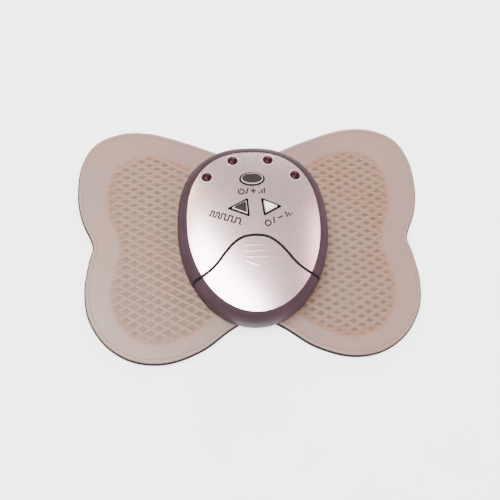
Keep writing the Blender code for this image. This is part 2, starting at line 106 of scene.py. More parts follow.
# ---------------------------------------------------------------- what a user would change
class PadSizes(bpy.types.PropertyGroup):
    """Sizes of the soft butterfly."""
    thickness: FloatProperty(name="Sheet thickness", description="Silicone sheet, edge to edge",
                             default=corner("pad_centre", 1, 2), unit="LENGTH")
    window: FloatProperty(name="Window depth", description="Gentle sink of the netted window",
                          default=0.16 * MM, unit="LENGTH")
    fade: FloatProperty(name="Window fade", description="Width over which the window's tint fades",
                        default=3.2 * MM, unit="LENGTH")
    net_long: FloatProperty(name="Net pitch across", description="Long diagonal of a diamond",
                            default=7.86 * MM, unit="LENGTH")
    net_short: FloatProperty(name="Net pitch along", description="Short diagonal of a diamond",
                             default=4.45 * MM, unit="LENGTH")
    rib_width: FloatProperty(name="Rib width", description="Width of one strand of the net",
                             default=1.9 * MM, unit="LENGTH")
    rib_height: FloatProperty(name="Rib height", description="How far the net stands up",
                              default=0.3 * MM, unit="LENGTH")
    bend_start: FloatProperty(name="Bend start", description="Where a wing begins to bend",
                              default=38.5 * MM, unit="LENGTH")


class CaseSizes(bpy.types.PropertyGroup):
    """Sizes of the controller's hard case."""
    centre_y: FloatProperty(name="Egg centre", description="Middle of the egg along Y",
                            default=3.0 * MM, unit="LENGTH")
    half_width: FloatProperty(name="Half width", description="Widest reach of the skirt",
                              default=corner("lower_case", 1, 0), unit="LENGTH")
    rear: FloatProperty(name="Rear end", description="Rear end of the skirt along Y",
                        default=corner("lower_case", 1, 1), unit="LENGTH")
    front: FloatProperty(name="Front end", description="Front end of the skirt along Y",
                         default=corner("battery_door", 0, 1), unit="LENGTH")
    flare: FloatProperty(name="Skirt flare", description="How far the skirt passes the rim",
                         default=4.9 * MM, unit="LENGTH")
    base: FloatProperty(name="Underside", description="Height of the underside",
                        default=corner("lower_case", 0, 2), unit="LENGTH")
    rim: FloatProperty(name="Rim height", description="Where face and skirt meet",
                       default=corner("lower_case", 1, 2) + 0.35 * MM, unit="LENGTH")
    crown: FloatProperty(name="Crown height", description="Top of the domed face",
                         default=corner("upper_cover", 1, 2), unit="LENGTH")
    wall: FloatProperty(name="Wall", description="Moulded wall thickness",
                        default=1.4 * MM, unit="LENGTH")
    seam: FloatProperty(name="Door seam", description="Gap along the door's edge",
                        default=1.35 * MM, unit="LENGTH")
    facets: IntProperty(name="Facets", description="Points round the egg", default=176, min=24)


def colour(name, description, hexa):
    return StringProperty(name=name, description=description, default=hexa)


class FinishColours(bpy.types.PropertyGroup):
    """Colours of the finishes, as sRGB hex values."""
    silicone: colour("Silicone", "Milky sheet round the window", "#8b766f")
    silicone_warm: colour("Warm silicone", "Yellower clouds in the sheet", "#8f786a")
    # Edge: painted shade; the sheet's side wall and rolled edge are coloured dark to stand in for
    # their shadow
    edge: colour("Edge", "Trimmed side of the sheet", "#2b2523")
    # Pocket: partly the cloth's own tint, partly painted shade for the recess between the strands
    window: colour("Pocket", "Conductive cloth seen through a diamond", "#705a47")
    net: colour("Net", "Raised strands of the net", "#87735e")
    net_warm: colour("Rosy net", "Pinker clouds in the net", "#8f6b59")
    border: colour("Border", "Warm line where the cloth is glued round the window", "#94694c")
    gel: colour("Gel", "Sticky face of the pad", "#d8cfba")
    silver: colour("Silver paint", "Metallic lacquer of the face", "#eccfd3")
    mauve: colour("Mauve plastic", "Dark skirt of the case", "#3a2b32")
    dark_key: colour("Dark key", "Inlay of two of the keys", "#2a2226")
    # White key: painted highlight; the bright reflection on the off key is painted into its inlay as
    # white
    white_key: colour("White key", "Inlay of the third key", "#f4f2ea")
    lamp: colour("Lamp", "Tinted lamp lens", "#220207")
    ink: colour("Ink", "Printed signs", "#211a1e")


# ---------------------------------------------------------------- plan curves
def smooth_curve(points, steps, closed):
    """Catmull-Rom curve through the points."""
    count = len(points)
    curve = []
    for i in range(count if closed else count - 1):
        if closed:
            near = [points[(i + j - 1) % count] for j in range(4)]
        else:
            near = [points[min(max(i + j - 1, 0), count - 1)] for j in range(4)]
        p0, p1, p2, p3 = (Vector(p) for p in near)
        for k in range(steps):
            u = k / steps
            curve.append(0.5 * (2 * p1 + (p2 - p0) * u + (2 * p0 - 5 * p1 + 4 * p2 - p3) * u ** 2
                                + (3 * p1 - p0 - 3 * p2 + p3) * u ** 3))
    if not closed:
        curve.append(Vector(points[-1]))
    return [tuple(p) for p in curve]


def ellipse(centre, a, b, count=64):
    turns = [2 * math.pi * i / count for i in range(count)]
    return [(centre[0] + a * math.cos(t), centre[1] + b * math.sin(t)) for t in turns]


def inset(points, distance):
    """Closed outline moved inwards; its points run counter-clockwise."""
    moved = []
    for i, point in enumerate(points):
        here = Vector(point)
        before = (here - Vector(points[i - 1])).normalized()
        after = (Vector(points[(i + 1) % len(points)]) - here).normalized()
        left = Vector((-after.y, after.x))
        normal = (Vector((-before.y, before.x)) + left).normalized()
        moved.append(tuple(here + normal * (distance / max(normal.dot(left), 0.35))))
    return moved


def rounded(points, radius, steps=7):
    """Polygon with its corners turned into arcs; its points run counter-clockwise."""
    smooth = []
    for i, point in enumerate(points):
        here = Vector(point)
        back = (Vector(points[i - 1]) - here).normalized()
        ahead = (Vector(points[(i + 1) % len(points)]) - here).normalized()
        half = back.angle(ahead) / 2
        centre = here + (back + ahead).normalized() * (radius / math.sin(half))
        start = here + back * (radius / math.tan(half)) - centre
        sweep = math.pi - 2 * half
        for k in range(steps + 1):
            smooth.append(tuple(centre + Matrix.Rotation(sweep * k / steps, 2) @ start))
    return smooth


def pad_outline(steps=12):
    left = [(-x, y) for x, y in reversed(PAD_HALF)]
    return smooth_curve([PAD_FRONT] + PAD_HALF + [PAD_REAR] + left, steps, True)


def zone_outline(side, shrink=0.0, steps=9):
    outline = inset(smooth_curve(ZONE, steps, True), shrink)
    return outline if side > 0 else [(-x, y) for x, y in reversed(outline)]


class Egg:
    """The case's shape, worked out in millimetres from the frame's sizes."""

    def __init__(self, sizes):
        self.y = sizes.centre_y / MM
        self.flare = sizes.flare / MM
        self.a = sizes.half_width / MM - self.flare
        self.rear = sizes.rear / MM - self.y - self.flare
        self.front = self.y - sizes.front / MM - self.flare
        self.rim, self.base = sizes.rim / MM, sizes.base / MM
        self.height = sizes.crown / MM - self.rim
        self.wall, self.count = sizes.wall / MM, sizes.facets

    def ring(self, offset=0.0, scale=1.0):
        points = []
        for i in range(self.count):
            turn = 2 * math.pi * (i + 0.5) / self.count
            c, s = math.cos(turn), math.sin(turn)
            power = EGG_POWER_REAR if s > 0 else EGG_POWER_FRONT
            length = self.rear if s > 0 else self.front
            x = (self.a + offset) * scale * math.copysign(abs(c) ** (2 / power), c)
            y = (length + offset) * scale * math.copysign(abs(s) ** (2 / power), s)
            points.append((x, self.y + y))
        return points

    def dome(self, scale):
        return self.rim + self.height * (1 - scale ** DOME_POWER)

    def face(self, x, y):
        """Height of the face above a point of the plan."""
        length = self.rear if y > self.y else self.front
        power = EGG_POWER_REAR if y > self.y else EGG_POWER_FRONT
        reach = abs(x / self.a) ** power + abs((y - self.y) / length) ** power
        return self.dome(min(reach ** (1 / power), 1.0))

    def skirt(self, t):
        """(offset, height) down the skirt: t is 0 at the rim and 1 just above the base.

        The upper half is a rounded shoulder that flares out, the lower half an almost upright
        wall with a slight belly.
        """
        turn = min(t * 2, 1.0) * math.pi / 2
        shoulder, belly = 6.2, 0.1
        start, end = self.rim - 0.3, self.base + 0.5
        if t < 0.5:
            return (0.25 + (self.flare - 0.35) * math.sin(turn) ** 0.9,
                    start - shoulder * (1 - math.cos(turn)))
        low = start - shoulder
        share = (t - 0.5) * 2
        return self.flare - belly + belly * math.sin(share * math.pi), low + share * (end - low)


# ---------------------------------------------------------------- meshes
def link(name, mesh):
    obj = bpy.data.objects.new(name, mesh)
    bpy.context.scene.collection.objects.link(obj)
    return obj


def loft(name, rings, material=None):
    """Closed solid through rings of (x, y, z) millimetre points, its ends filled."""
    bm = bmesh.new()
    rows = [[bm.verts.new(Vector(p) * MM) for p in ring] for ring in rings]
    count = len(rings[0])
    for low, high in zip(rows, rows[1:]):
        for i in range(count):
            j = (i + 1) % count
            bm.faces.new((low[i], low[j], high[j], high[i]))
    bm.faces.new(list(reversed(rows[0])))
    bm.faces.new(rows[-1])
    bmesh.ops.recalc_face_normals(bm, faces=bm.faces)
    return from_bmesh(name, bm, material)


def from_bmesh(name, bm, material=None, angle=35):
    mesh = bpy.data.meshes.new(name)
    bm.to_mesh(mesh)
    bm.free()
    obj = link(name, mesh)
    dress(obj, material, angle)
    return obj


def dress(obj, material, angle=35):
    if material:
        obj.data.materials.clear()
        obj.data.materials.append(material)
    obj.data.shade_smooth()
    obj.data.set_sharp_from_angle(angle=math.radians(angle))


def at(points, z):
    return [(x, y, z) for x, y in points]


def prism(name, points, low, high, material=None):
    return loft(name, [at(points, low), at(points, high)], material)


def box(name, x, y, z, material=None, edge=0.0):
    x, y = sorted(x), sorted(y)
    points = [(x[0], y[0]), (x[1], y[0]), (x[1], y[1]), (x[0], y[1])]
    if not edge:
        return prism(name, points, *z, material)
    return loft(name, [at(inset(points, edge), z[0]), at(points, z[0] + edge),
                       at(points, z[1] - edge), at(inset(points, edge), z[1])], material)


def turned(name, centre, profile, material=None, count=48):
    """Solid of revolution about Z from (radius, z) pairs, bottom to top."""
    return loft(name, [at(ellipse(centre, r, r, count), z) for r, z in profile], material)


def turned_y(name, x, z, profile, material=None, count=48):
    """Solid of revolution about Y from (radius, y) pairs, front to rear."""
    rings = []
    for r, y in profile:
        turns = [2 * math.pi * i / count for i in range(count)]
        rings.append([(x + r * math.cos(t), y, z - r * math.sin(t)) for t in turns])
    return loft(name, rings, material)


def to_mesh(obj, material=None):
    """Replaces an object by a plain mesh of what it evaluates to."""
    name = obj.name
    bpy.context.view_layer.update()
    shape = obj.evaluated_get(bpy.context.evaluated_depsgraph_get())
    mesh = bpy.data.meshes.new_from_object(shape)
    bpy.data.objects.remove(obj)
    made = link(name, mesh)
    mesh.name = name
    dress(made, material)
    return made


def cut(target, tools, operation="DIFFERENCE"):
    """Applies booleans with the tools, and removes them."""
    for tool in tools:
        mod = target.modifiers.new(tool.name, "BOOLEAN")
        mod.operation = operation
        mod.object = tool
    made = to_mesh(target)
    for tool in tools:
        bpy.data.objects.remove(tool)
    return made


def join(name, objects):
    """One object from several meshes of one material."""
    bm = bmesh.new()
    for obj in objects:
        bm.from_mesh(obj.data)
    material = objects[0].data.materials[0]
    for obj in objects:
        bpy.data.objects.remove(obj)
    return from_bmesh(name, bm, material)


def slice_grid(obj, xs, ys):
    """Cuts a mesh along planes so that it can bend."""
    bm = bmesh.new()
    bm.from_mesh(obj.data)
    for axis, places in enumerate((xs, ys)):
        normal = Vector((axis == 0, axis == 1, 0))
        for place in places:
            bmesh.ops.bisect_plane(bm, geom=bm.verts[:] + bm.edges[:] + bm.faces[:],
                                   plane_co=normal * place * MM, plane_no=normal, dist=1e-7)
    bm.to_mesh(obj.data)
    bm.free()
    dress(obj, None)


def spaced(low, high, step):
    count = round((high - low) / step)
    return [low + (high - low) * i / count for i in range(count + 1)]


# ---------------------------------------------------------------- materials
def paint(hexa):
    """sRGB hex to a linear colour."""
    parts = [int(hexa[i:i + 2], 16) / 255 for i in (1, 3, 5)]
    return (*(p / 12.92 if p <= 0.04045 else ((p + 0.055) / 1.055) ** 2.4 for p in parts), 1.0)


def add(tree, kind, inputs=None, **settings):
    """Adds a node, applies its settings and fills or links its inputs."""
    node = tree.nodes.new(kind)
    for key, value in settings.items():
        setattr(node, key, value)
    for key, value in (inputs or {}).items():
        if isinstance(value, bpy.types.NodeSocket):
            tree.links.new(value, node.inputs[key])
        else:
            node.inputs[key].default_value = value
    return node


def begin(name, **values):
    """A material with only a shader and an output; values go on the shader's own sockets."""
    material = bpy.data.materials.new(name)
    material.use_nodes = True
    tree = material.node_tree
    tree.nodes.clear()
    shader = add(tree, "ShaderNodeBsdfPrincipled", values)
    add(tree, "ShaderNodeOutputMaterial", {"Surface": shader.outputs[0]})
    place = add(tree, "ShaderNodeTexCoord").outputs["Object"]
    return material, tree, shader, place


def grain(tree, place, per_metre, detail=3.0, roughness=0.5):
    return add(tree, "ShaderNodeTexNoise", {"Vector": place, "Scale": per_metre, "Detail": detail,
                                            "Roughness": roughness}).outputs["Fac"]


def tinted(tree, factor, low, high, narrow=(0.35, 0.65)):
    """Colour that runs from low to high with a factor."""
    share = add(tree, "ShaderNodeMapRange", {0: factor, 1: narrow[0], 2: narrow[1]}).outputs[0]
    mix = add(tree, "ShaderNodeMix", {0: share}, data_type="RGBA")
    mix.inputs[6].default_value = low
    mix.inputs[7].default_value = high
    return mix.outputs[2]


def shade(colour_value, factor):
    return (*(min(c * factor, 1.0) for c in colour_value[:3]), 1.0)


def spread(tree, shader, factor, low, high):
    """Roughness that runs from low to high with a factor."""
    rough = add(tree, "ShaderNodeMapRange", {0: factor, 1: 0.3, 2: 0.7, 3: low, 4: high})
    tree.links.new(rough.outputs[0], shader.inputs["Roughness"])


def relief(tree, shader, height, depth, before=None):
    """Bump from a height, depth in metres."""
    bump = add(tree, "ShaderNodeBump", {"Height": height, "Distance": depth, "Strength": 1.0})
    if before:
        tree.links.new(before, bump.inputs["Normal"])
    tree.links.new(bump.outputs[0], shader.inputs["Normal"])
    return bump.outputs[0]


def diamond_shade_mask(tree, place, sizes):
    """1 in the middle of a diamond of the net, 0 on its strands, soft between; it places the painted
    shade of the recesses in the cells.
    """
    axes = add(tree, "ShaderNodeSeparateXYZ", {0: place}).outputs
    across = add(tree, "ShaderNodeMath", {0: axes[0], 1: sizes.net_long}, operation="DIVIDE")
    along = add(tree, "ShaderNodeMath", {0: axes[1], 1: sizes.net_short}, operation="DIVIDE")
    away = []
    for operation in ("ADD", "SUBTRACT"):
        turn = add(tree, "ShaderNodeMath", {0: across.outputs[0], 1: along.outputs[0]},
                   operation=operation)
        away.append(add(tree, "ShaderNodeMath", {0: turn.outputs[0], 1: 0.5},
                        operation="PINGPONG").outputs[0])
    far = add(tree, "ShaderNodeMath", {0: away[0], 1: away[1]}, operation="MAXIMUM").outputs[0]
    return add(tree, "ShaderNodeMapRange", {0: far, 1: 0.4, 2: 0.16},
               interpolation_type="SMOOTHSTEP").outputs[0]


def silicone_moulded(colours, sizes):
    """Milky silicone rubber, compression moulded: soft sheen, light bleeding in at the edges."""
    name = "silicone_moulded_milky"
    if name in bpy.data.materials:
        return bpy.data.materials[name]
    material, tree, shader, place = begin(
        name, **{"IOR": 1.41, "Subsurface Weight": 0.25, "Subsurface Radius": (0.004, 0.0028, 0.002),
                 "Subsurface Scale": 1.0, "Coat Weight": 0.12, "Coat Roughness": 0.3})
    cloudy = grain(tree, place, 32, 3.0)
    blend = {"data_type": "RGBA"}
    rim = tinted(tree, cloudy, paint(colours.silicone), paint(colours.silicone_warm))
    strand = tinted(tree, cloudy, paint(colours.net_warm), paint(colours.net))
    # the cloth under a diamond, darker than the strands: partly the cloth's own tint, partly painted
    # shade in the recess between the strands
    pocket = tinted(tree, grain(tree, place, 120, 3.0), shade(paint(colours.window), 0.85),
                    shade(paint(colours.window), 1.1))
    cells_tint_and_shade = add(tree, "ShaderNodeMix", {0: diamond_shade_mask(tree, place, sizes), 6: strand, 7: pocket},
                **blend).outputs[2]
    zone = add(tree, "ShaderNodeAttribute", attribute_name="window").outputs["Fac"]
    sheet = add(tree, "ShaderNodeMix", {0: zone, 6: rim, 7: cells_tint_and_shade}, **blend).outputs[2]
    # the cloth's glued border shows as a warmer line: strongest where the fade is halfway
    halfway = add(tree, "ShaderNodeMath", {0: zone, 1: 0.5}, operation="PINGPONG").outputs[0]
    line = add(tree, "ShaderNodeMath", {0: halfway, 1: 1.1}, operation="MULTIPLY").outputs[0]
    whole = add(tree, "ShaderNodeMix", {0: line, 6: sheet, 7: paint(colours.border)}, **blend)
    tree.links.new(whole.outputs[2], shader.inputs["Base Color"])
    spread(tree, shader, cloudy, 0.38, 0.5)
    relief(tree, shader, grain(tree, place, 1400, 2.0), 0.00002)
    return material


def silicone_edge_shade(colours):
    """Trimmed side of the silicone sheet: matt, and painted dark as painted shade for the wall in
    shadow and the contact shadow along the outline.
    """
    name = "silicone_trimmed_edge"
    if name in bpy.data.materials:
        return bpy.data.materials[name]
    material, tree, shader, place = begin(name, **{"IOR": 1.41, "Specular IOR Level": 0.05})
    torn = grain(tree, place, 600, 3.0)
    tree.links.new(tinted(tree, torn, shade(paint(colours.edge), 0.8),
                          shade(paint(colours.edge), 1.2)), shader.inputs["Base Color"])
    spread(tree, shader, torn, 0.7, 0.85)
    relief(tree, shader, torn, 0.00003)
    return material


def hydrogel(colours):
    """Cast hydrogel: wet gloss, faint clouds and a soft ripple from its liner."""
    name = "hydrogel_cast"
    if name in bpy.data.materials:
        return bpy.data.materials[name]
    material, tree, shader, place = begin(
        name, **{"IOR": 1.38, "Subsurface Weight": 0.35, "Subsurface Radius": (0.003, 0.003, 0.002),
                 "Subsurface Scale": 1.0, "Coat Weight": 0.6, "Coat Roughness": 0.08})
    cloudy = grain(tree, place, 80, 4.0)
    tree.links.new(tinted(tree, cloudy, shade(paint(colours.gel), 0.85), paint(colours.gel)),
                   shader.inputs["Base Color"])
    spread(tree, shader, cloudy, 0.12, 0.24)
    relief(tree, shader, grain(tree, place, 260, 2.0), 0.00004)
    return material


def conductive_cloth():
    """Silver-coated woven cloth: dull metal threads, 0.5 mm apart."""
    name = "silver_cloth_woven"
    if name in bpy.data.materials:
        return bpy.data.materials[name]
    material, tree, shader, place = begin(name, **{"Metallic": 0.7, "Roughness": 0.55})
    waves = []
    for direction in ("X", "Y"):
        # bands are 0.5 mm apart: a wave repeats every 2 pi / (20 x scale) metres
        waves.append(add(tree, "ShaderNodeTexWave", {"Vector": place, "Scale": 628.0},
                         bands_direction=direction).outputs["Fac"])
    weave = add(tree, "ShaderNodeMath", {0: waves[0], 1: waves[1]}, operation="MULTIPLY").outputs[0]
    tree.links.new(tinted(tree, weave, paint("#7f7568"), paint("#c6b9a8"), (0.1, 0.8)),
                   shader.inputs["Base Color"])
    relief(tree, shader, weave, 0.00006)
    return material


def silver_lacquer(colours):
    """ABS with metallic lacquer: fine aluminium flakes that glitter, under a satin clear coat."""
    name = "abs_silver_lacquer"
    if name in bpy.data.materials:
        return bpy.data.materials[name]
    material, tree, shader, place = begin(
        name, **{"Metallic": 0.82, "Coat Weight": 0.35, "Coat Roughness": 0.18})
    # real flakes are about 0.05 mm; they are drawn 0.15 mm across so that they show
    flakes = add(tree, "ShaderNodeTexVoronoi", {"Vector": place, "Scale": 6600.0}).outputs["Color"]
    glint = add(tree, "ShaderNodeSeparateColor", {0: flakes}).outputs[0]
    tree.links.new(tinted(tree, glint, shade(paint(colours.silver), 0.95),
                          paint(colours.silver), (0.0, 1.0)),
                   shader.inputs["Base Color"])
    spread(tree, shader, glint, 0.23, 0.29)
    first = relief(tree, shader, glint, 0.0000003)
    relief(tree, shader, grain(tree, place, 500, 2.0), 0.000006, first)
    return material


def mauve_plastic(colours):
    """ABS moulded in dark mauve: satin spark-eroded texture, brighter where hands rub it."""
    name = "abs_mauve_satin"
    if name in bpy.data.materials:
        return bpy.data.materials[name]
    material, tree, shader, place = begin(
        name, **{"IOR": 1.45, "Specular IOR Level": 0.1})
    cloudy = grain(tree, place, 60, 3.0)
    tree.links.new(tinted(tree, cloudy, shade(paint(colours.mauve), 0.85),
                          shade(paint(colours.mauve), 1.12)), shader.inputs["Base Color"])
    spread(tree, shader, cloudy, 0.42, 0.56)
    relief(tree, shader, grain(tree, place, 3000, 2.0), 0.000012)
    return material


def key_plastic(name, hexa):
    """Moulded key top: smooth ABS with a light gloss and faint finger wear in the middle."""
    if name in bpy.data.materials:
        return bpy.data.materials[name]
    material, tree, shader, place = begin(
        name, **{"IOR": 1.5, "Specular IOR Level": 0.12})
    worn = grain(tree, place, 420, 3.0)
    tree.links.new(tinted(tree, worn, shade(paint(hexa), 0.9), shade(paint(hexa), 1.1)),
                   shader.inputs["Base Color"])
    spread(tree, shader, worn, 0.42, 0.58)
    relief(tree, shader, grain(tree, place, 2500, 2.0), 0.000008)
    return material


def plated_bevel():
    """Vacuum-metallised key rim: bright, with fine turned lines."""
    name = "abs_vacuum_plated"
    if name in bpy.data.materials:
        return bpy.data.materials[name]
    material, tree, shader, place = begin(name, **{"Metallic": 0.9})
    fine = grain(tree, place, 1500, 2.0)
    tree.links.new(tinted(tree, fine, paint("#cfc8c4"), paint("#e9e4e0")),
                   shader.inputs["Base Color"])
    spread(tree, shader, fine, 0.2, 0.32)
    relief(tree, shader, fine, 0.000006)
    return material


def lamp_lens(colours):
    """Dark red acrylic dome: glossy, its paler core showing through the middle."""
    name = "acrylic_lamp_red"
    if name in bpy.data.materials:
        return bpy.data.materials[name]
    material, tree, shader, place = begin(
        name, **{"IOR": 1.49, "Roughness": 0.3, "Specular IOR Level": 0.14})
    core = add(tree, "ShaderNodeAttribute", attribute_name="core").outputs["Fac"]
    tree.links.new(tinted(tree, core, paint(colours.lamp), paint("#54202a"), (0.6, 0.95)),
                   shader.inputs["Base Color"])
    relief(tree, shader, grain(tree, place, 900, 2.0), 0.00001)
    return material


def ink_print(colours):
    """Pad-printed ink: flat grey, thinner where the pad lifted."""
    name = "ink_pad_printed"
    if name in bpy.data.materials:
        return bpy.data.materials[name]
    material, tree, shader, place = begin(name, **{"Roughness": 0.55, "Specular IOR Level": 0.05})
    thin = grain(tree, place, 1500, 3.0)
    tree.links.new(tinted(tree, thin, paint(colours.ink), shade(paint(colours.ink), 1.35)),
                   shader.inputs["Base Color"])
    return material


def plain(name, low, high, per_metre, rough, metallic=0.0, depth=0.00001, **more):
    """Ordinary finish: two close colours in a grain, with matching roughness and relief."""
    if name in bpy.data.materials:
        return bpy.data.materials[name]
    values = {"Metallic": metallic}
    values.update({key.replace("_", " "): value for key, value in more.items()})
    material, tree, shader, place = begin(name, **values)
    fine = grain(tree, place, per_metre, 3.0)
    tree.links.new(tinted(tree, fine, paint(low), paint(high)), shader.inputs["Base Color"])
    spread(tree, shader, fine, *rough)
    relief(tree, shader, fine, depth)
    return material


def nickel_plate():
    """Nickel-plated steel: bright, with drawn marks."""
    return plain("steel_nickel_plated", "#a9a7a2", "#c9c7c2", 900, (0.18, 0.34), 1.0, 0.000006)


def gap_shade_black():
    """Near-black matt finish, deep: painted shade that darkens the gaps round the keys and along the
    door's seam.
    """
    return plain("rubber_black_matt", "#050405", "#0c0a0b", 1200, (0.6, 0.8),
                 Specular_IOR_Level=0.2)


# ---------------------------------------------------------------- geometry node trees
def value_input(tree, name, kind="NodeSocketFloat"):
    return tree.interface.new_socket(name, in_out="INPUT", socket_type=kind)


def new_tree(name):
    tree = bpy.data.node_groups.new(name, "GeometryNodeTree")
    value_input(tree, "Geometry", "NodeSocketGeometry")
    tree.interface.new_socket("Geometry", in_out="OUTPUT", socket_type="NodeSocketGeometry")
    tree.is_modifier = True
    return tree


def close_tree(tree, geometry, material_socket):
    """Realize Instances and Set Material, then the output."""
    solid = add(tree, "GeometryNodeRealizeInstances", {0: geometry}).outputs[0]
    coated = add(tree, "GeometryNodeSetMaterial", {"Geometry": solid, "Material": material_socket})
    add(tree, "NodeGroupOutput", {0: coated.outputs[0]})


def run_tree(name, tree, base, values):
    """Runs a tree on a base object and returns the plain mesh it makes."""
    mod = base.modifiers.new(tree.name, "NODES")
    mod.node_group = tree
    sockets = {item.name: item.identifier for item in tree.interface.items_tree
               if item.in_out == "INPUT"}
    for key, value in values.items():
        mod[sockets[key]] = value
    bpy.context.view_layer.update()
    shape = base.evaluated_get(bpy.context.evaluated_depsgraph_get())
    mesh = bpy.data.meshes.new_from_object(shape)
    base.modifiers.remove(mod)
    bpy.data.objects.remove(base)
    mesh.name = name
    obj = link(name, mesh)
    dress(obj, None)
    return obj


def points_object(points):
    """Loose vertices for a tree to stand its copies on."""
    mesh = bpy.data.meshes.new("points")
    mesh.from_pydata([tuple(Vector(p) * MM) for p in points], [], [])
    return link("points", mesh)


def copies_tree(name):
    """Stands a copy of one object on every vertex that comes in."""
    tree = new_tree(name)
    value_input(tree, "Copy", "NodeSocketObject")
    value_input(tree, "Material", "NodeSocketMaterial")
    value_input(tree, "Size")
    given = add(tree, "NodeGroupInput")
    copy = add(tree, "GeometryNodeObjectInfo", {"Object": given.outputs["Copy"]})
    size = add(tree, "ShaderNodeCombineXYZ", {0: given.outputs["Size"], 1: given.outputs["Size"],
                                              2: given.outputs["Size"]})
    placed = add(tree, "GeometryNodeInstanceOnPoints",
                 {"Points": given.outputs["Geometry"], "Instance": copy.outputs["Geometry"],
                  "Scale": size.outputs[0]})
    close_tree(tree, placed.outputs[0], given.outputs["Material"])
    return tree


def copies(name, pattern, places, material):
    """One mesh with a copy of pattern at each place; pattern is removed."""
    made = run_tree(name, copies_tree("stand_copies"), points_object(places),
                    {"Copy": pattern, "Material": material, "Size": 1.0})
    bpy.data.objects.remove(pattern)
    return made


def net_tree():
    """Diamond net over a flat window: two staggered grids of diamond frames inside an outline."""
    tree = new_tree("diamond_net")
    for name in ("Long", "Short", "Rib Width", "Rib Height", "Reach X", "Reach Y", "Margin"):
        value_input(tree, name)
    value_input(tree, "Frame", "NodeSocketObject")
    value_input(tree, "Material", "NodeSocketMaterial")
    given = add(tree, "NodeGroupInput").outputs
    grids = []
    for stagger in (0.0, 0.5):
        counts = []
        for reach, pitch in (("Reach X", "Long"), ("Reach Y", "Short")):
            share = add(tree, "ShaderNodeMath", {0: given[reach], 1: given[pitch]},
                        operation="DIVIDE").outputs[0]
            counts.append(add(tree, "ShaderNodeMath", {0: share}, operation="ROUND").outputs[0])
        sizes = []
        for count, pitch in zip(counts, ("Long", "Short")):
            sizes.append(add(tree, "ShaderNodeMath", {0: count, 1: given[pitch]},
                             operation="MULTIPLY").outputs[0])
        more = [add(tree, "ShaderNodeMath", {0: c, 1: 1.0}, operation="ADD").outputs[0]
                for c in counts]
        grid = add(tree, "GeometryNodeMeshGrid", {"Size X": sizes[0], "Size Y": sizes[1],
                                                  "Vertices X": more[0], "Vertices Y": more[1]})
        shift = [add(tree, "ShaderNodeMath", {0: given[p], 1: stagger},
                     operation="MULTIPLY").outputs[0] for p in ("Long", "Short")]
        offset = add(tree, "ShaderNodeCombineXYZ", {0: shift[0], 1: shift[1]}).outputs[0]
        grids.append(add(tree, "GeometryNodeTransform",
                         {"Geometry": grid.outputs[0], "Translation": offset}).outputs[0])
    both = add(tree, "GeometryNodeJoinGeometry")
    for grid in grids:
        tree.links.new(grid, both.inputs[0])
    points = add(tree, "GeometryNodeMeshToPoints", {"Mesh": both.outputs[0]}).outputs[0]
    inside = window_test(tree, given)
    kept = add(tree, "GeometryNodeSeparateGeometry", {"Geometry": points, "Selection": inside},
               domain="POINT").outputs[0]
    copy = add(tree, "GeometryNodeObjectInfo", {"Object": given["Frame"]})
    placed = add(tree, "GeometryNodeInstanceOnPoints",
                 {"Points": kept, "Instance": copy.outputs["Geometry"]})
    close_tree(tree, placed.outputs[0], given["Material"])
    return tree


def window_test(tree, given):
    """True for a point whose whole diamond lies over the outline that comes in."""
    place = add(tree, "GeometryNodeInputPosition").outputs[0]
    tests = []
    for x, y in ((1, 0), (-1, 0), (0, 1), (0, -1)):
        dx = add(tree, "ShaderNodeMath", {0: given["Margin"], 1: float(x)}, operation="MULTIPLY")
        dy = add(tree, "ShaderNodeMath", {0: given["Margin"], 1: float(y)}, operation="MULTIPLY")
        step = add(tree, "ShaderNodeCombineXYZ", {0: dx.outputs[0], 1: dy.outputs[0], 2: 1.0})
        start = add(tree, "ShaderNodeVectorMath", {0: place, 1: step.outputs[0]}, operation="ADD")
        ray = add(tree, "GeometryNodeRaycast",
                  {"Target Geometry": given["Geometry"], "Source Position": start.outputs[0],
                   "Ray Direction": (0.0, 0.0, -1.0), "Ray Length": 2.0})
        tests.append(ray.outputs["Is Hit"])
    result = tests[0]
    for test in tests[1:]:
        result = add(tree, "FunctionNodeBooleanMath", {0: result, 1: test},
                     operation="AND").outputs[0]
    return result


def diamond_frame(sizes):
    """One mesh of the net: a rhombus ring with a rounded strand section, centred at the origin."""
    half = (sizes.net_long / 2, sizes.net_short / 2)
    width, height = sizes.rib_width / 2, sizes.rib_height
    pitch = half[0] * half[1] / math.hypot(*half)
    profile = [(0.0, -0.1 * MM), (0.0, height), (0.35, 0.93 * height), (0.7, 0.6 * height),
               (1.0, 0.0), (1.0, -0.1 * MM)]
    bm = bmesh.new()
    rows = []
    for share, z in profile:
        scale = 1 - share * width / pitch
        rows.append([bm.verts.new((x * scale, y * scale, z)) for x, y in
                     ((half[0], 0), (0, half[1]), (-half[0], 0), (0, -half[1]))])
    for first, second in zip(rows, rows[1:] + rows[:1]):
        for i in range(4):
            j = (i + 1) % 4
            bm.faces.new((first[i], first[j], second[j], second[i]))
    bmesh.ops.recalc_face_normals(bm, faces=bm.faces)
    return from_bmesh("diamond", bm, None, 60)


# ---------------------------------------------------------------- soft pieces
def bend_with(piece):
    """Bakes a soft piece's transform into its mesh."""
    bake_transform(piece)


def bend_cuts(side):
    """X planes that cut a soft piece: close together where it bends."""
    near = spaced(36, 56, 1.0)
    return [side * x for x in spaced(4, 34, 2) + near + spaced(58, 86, 2)]


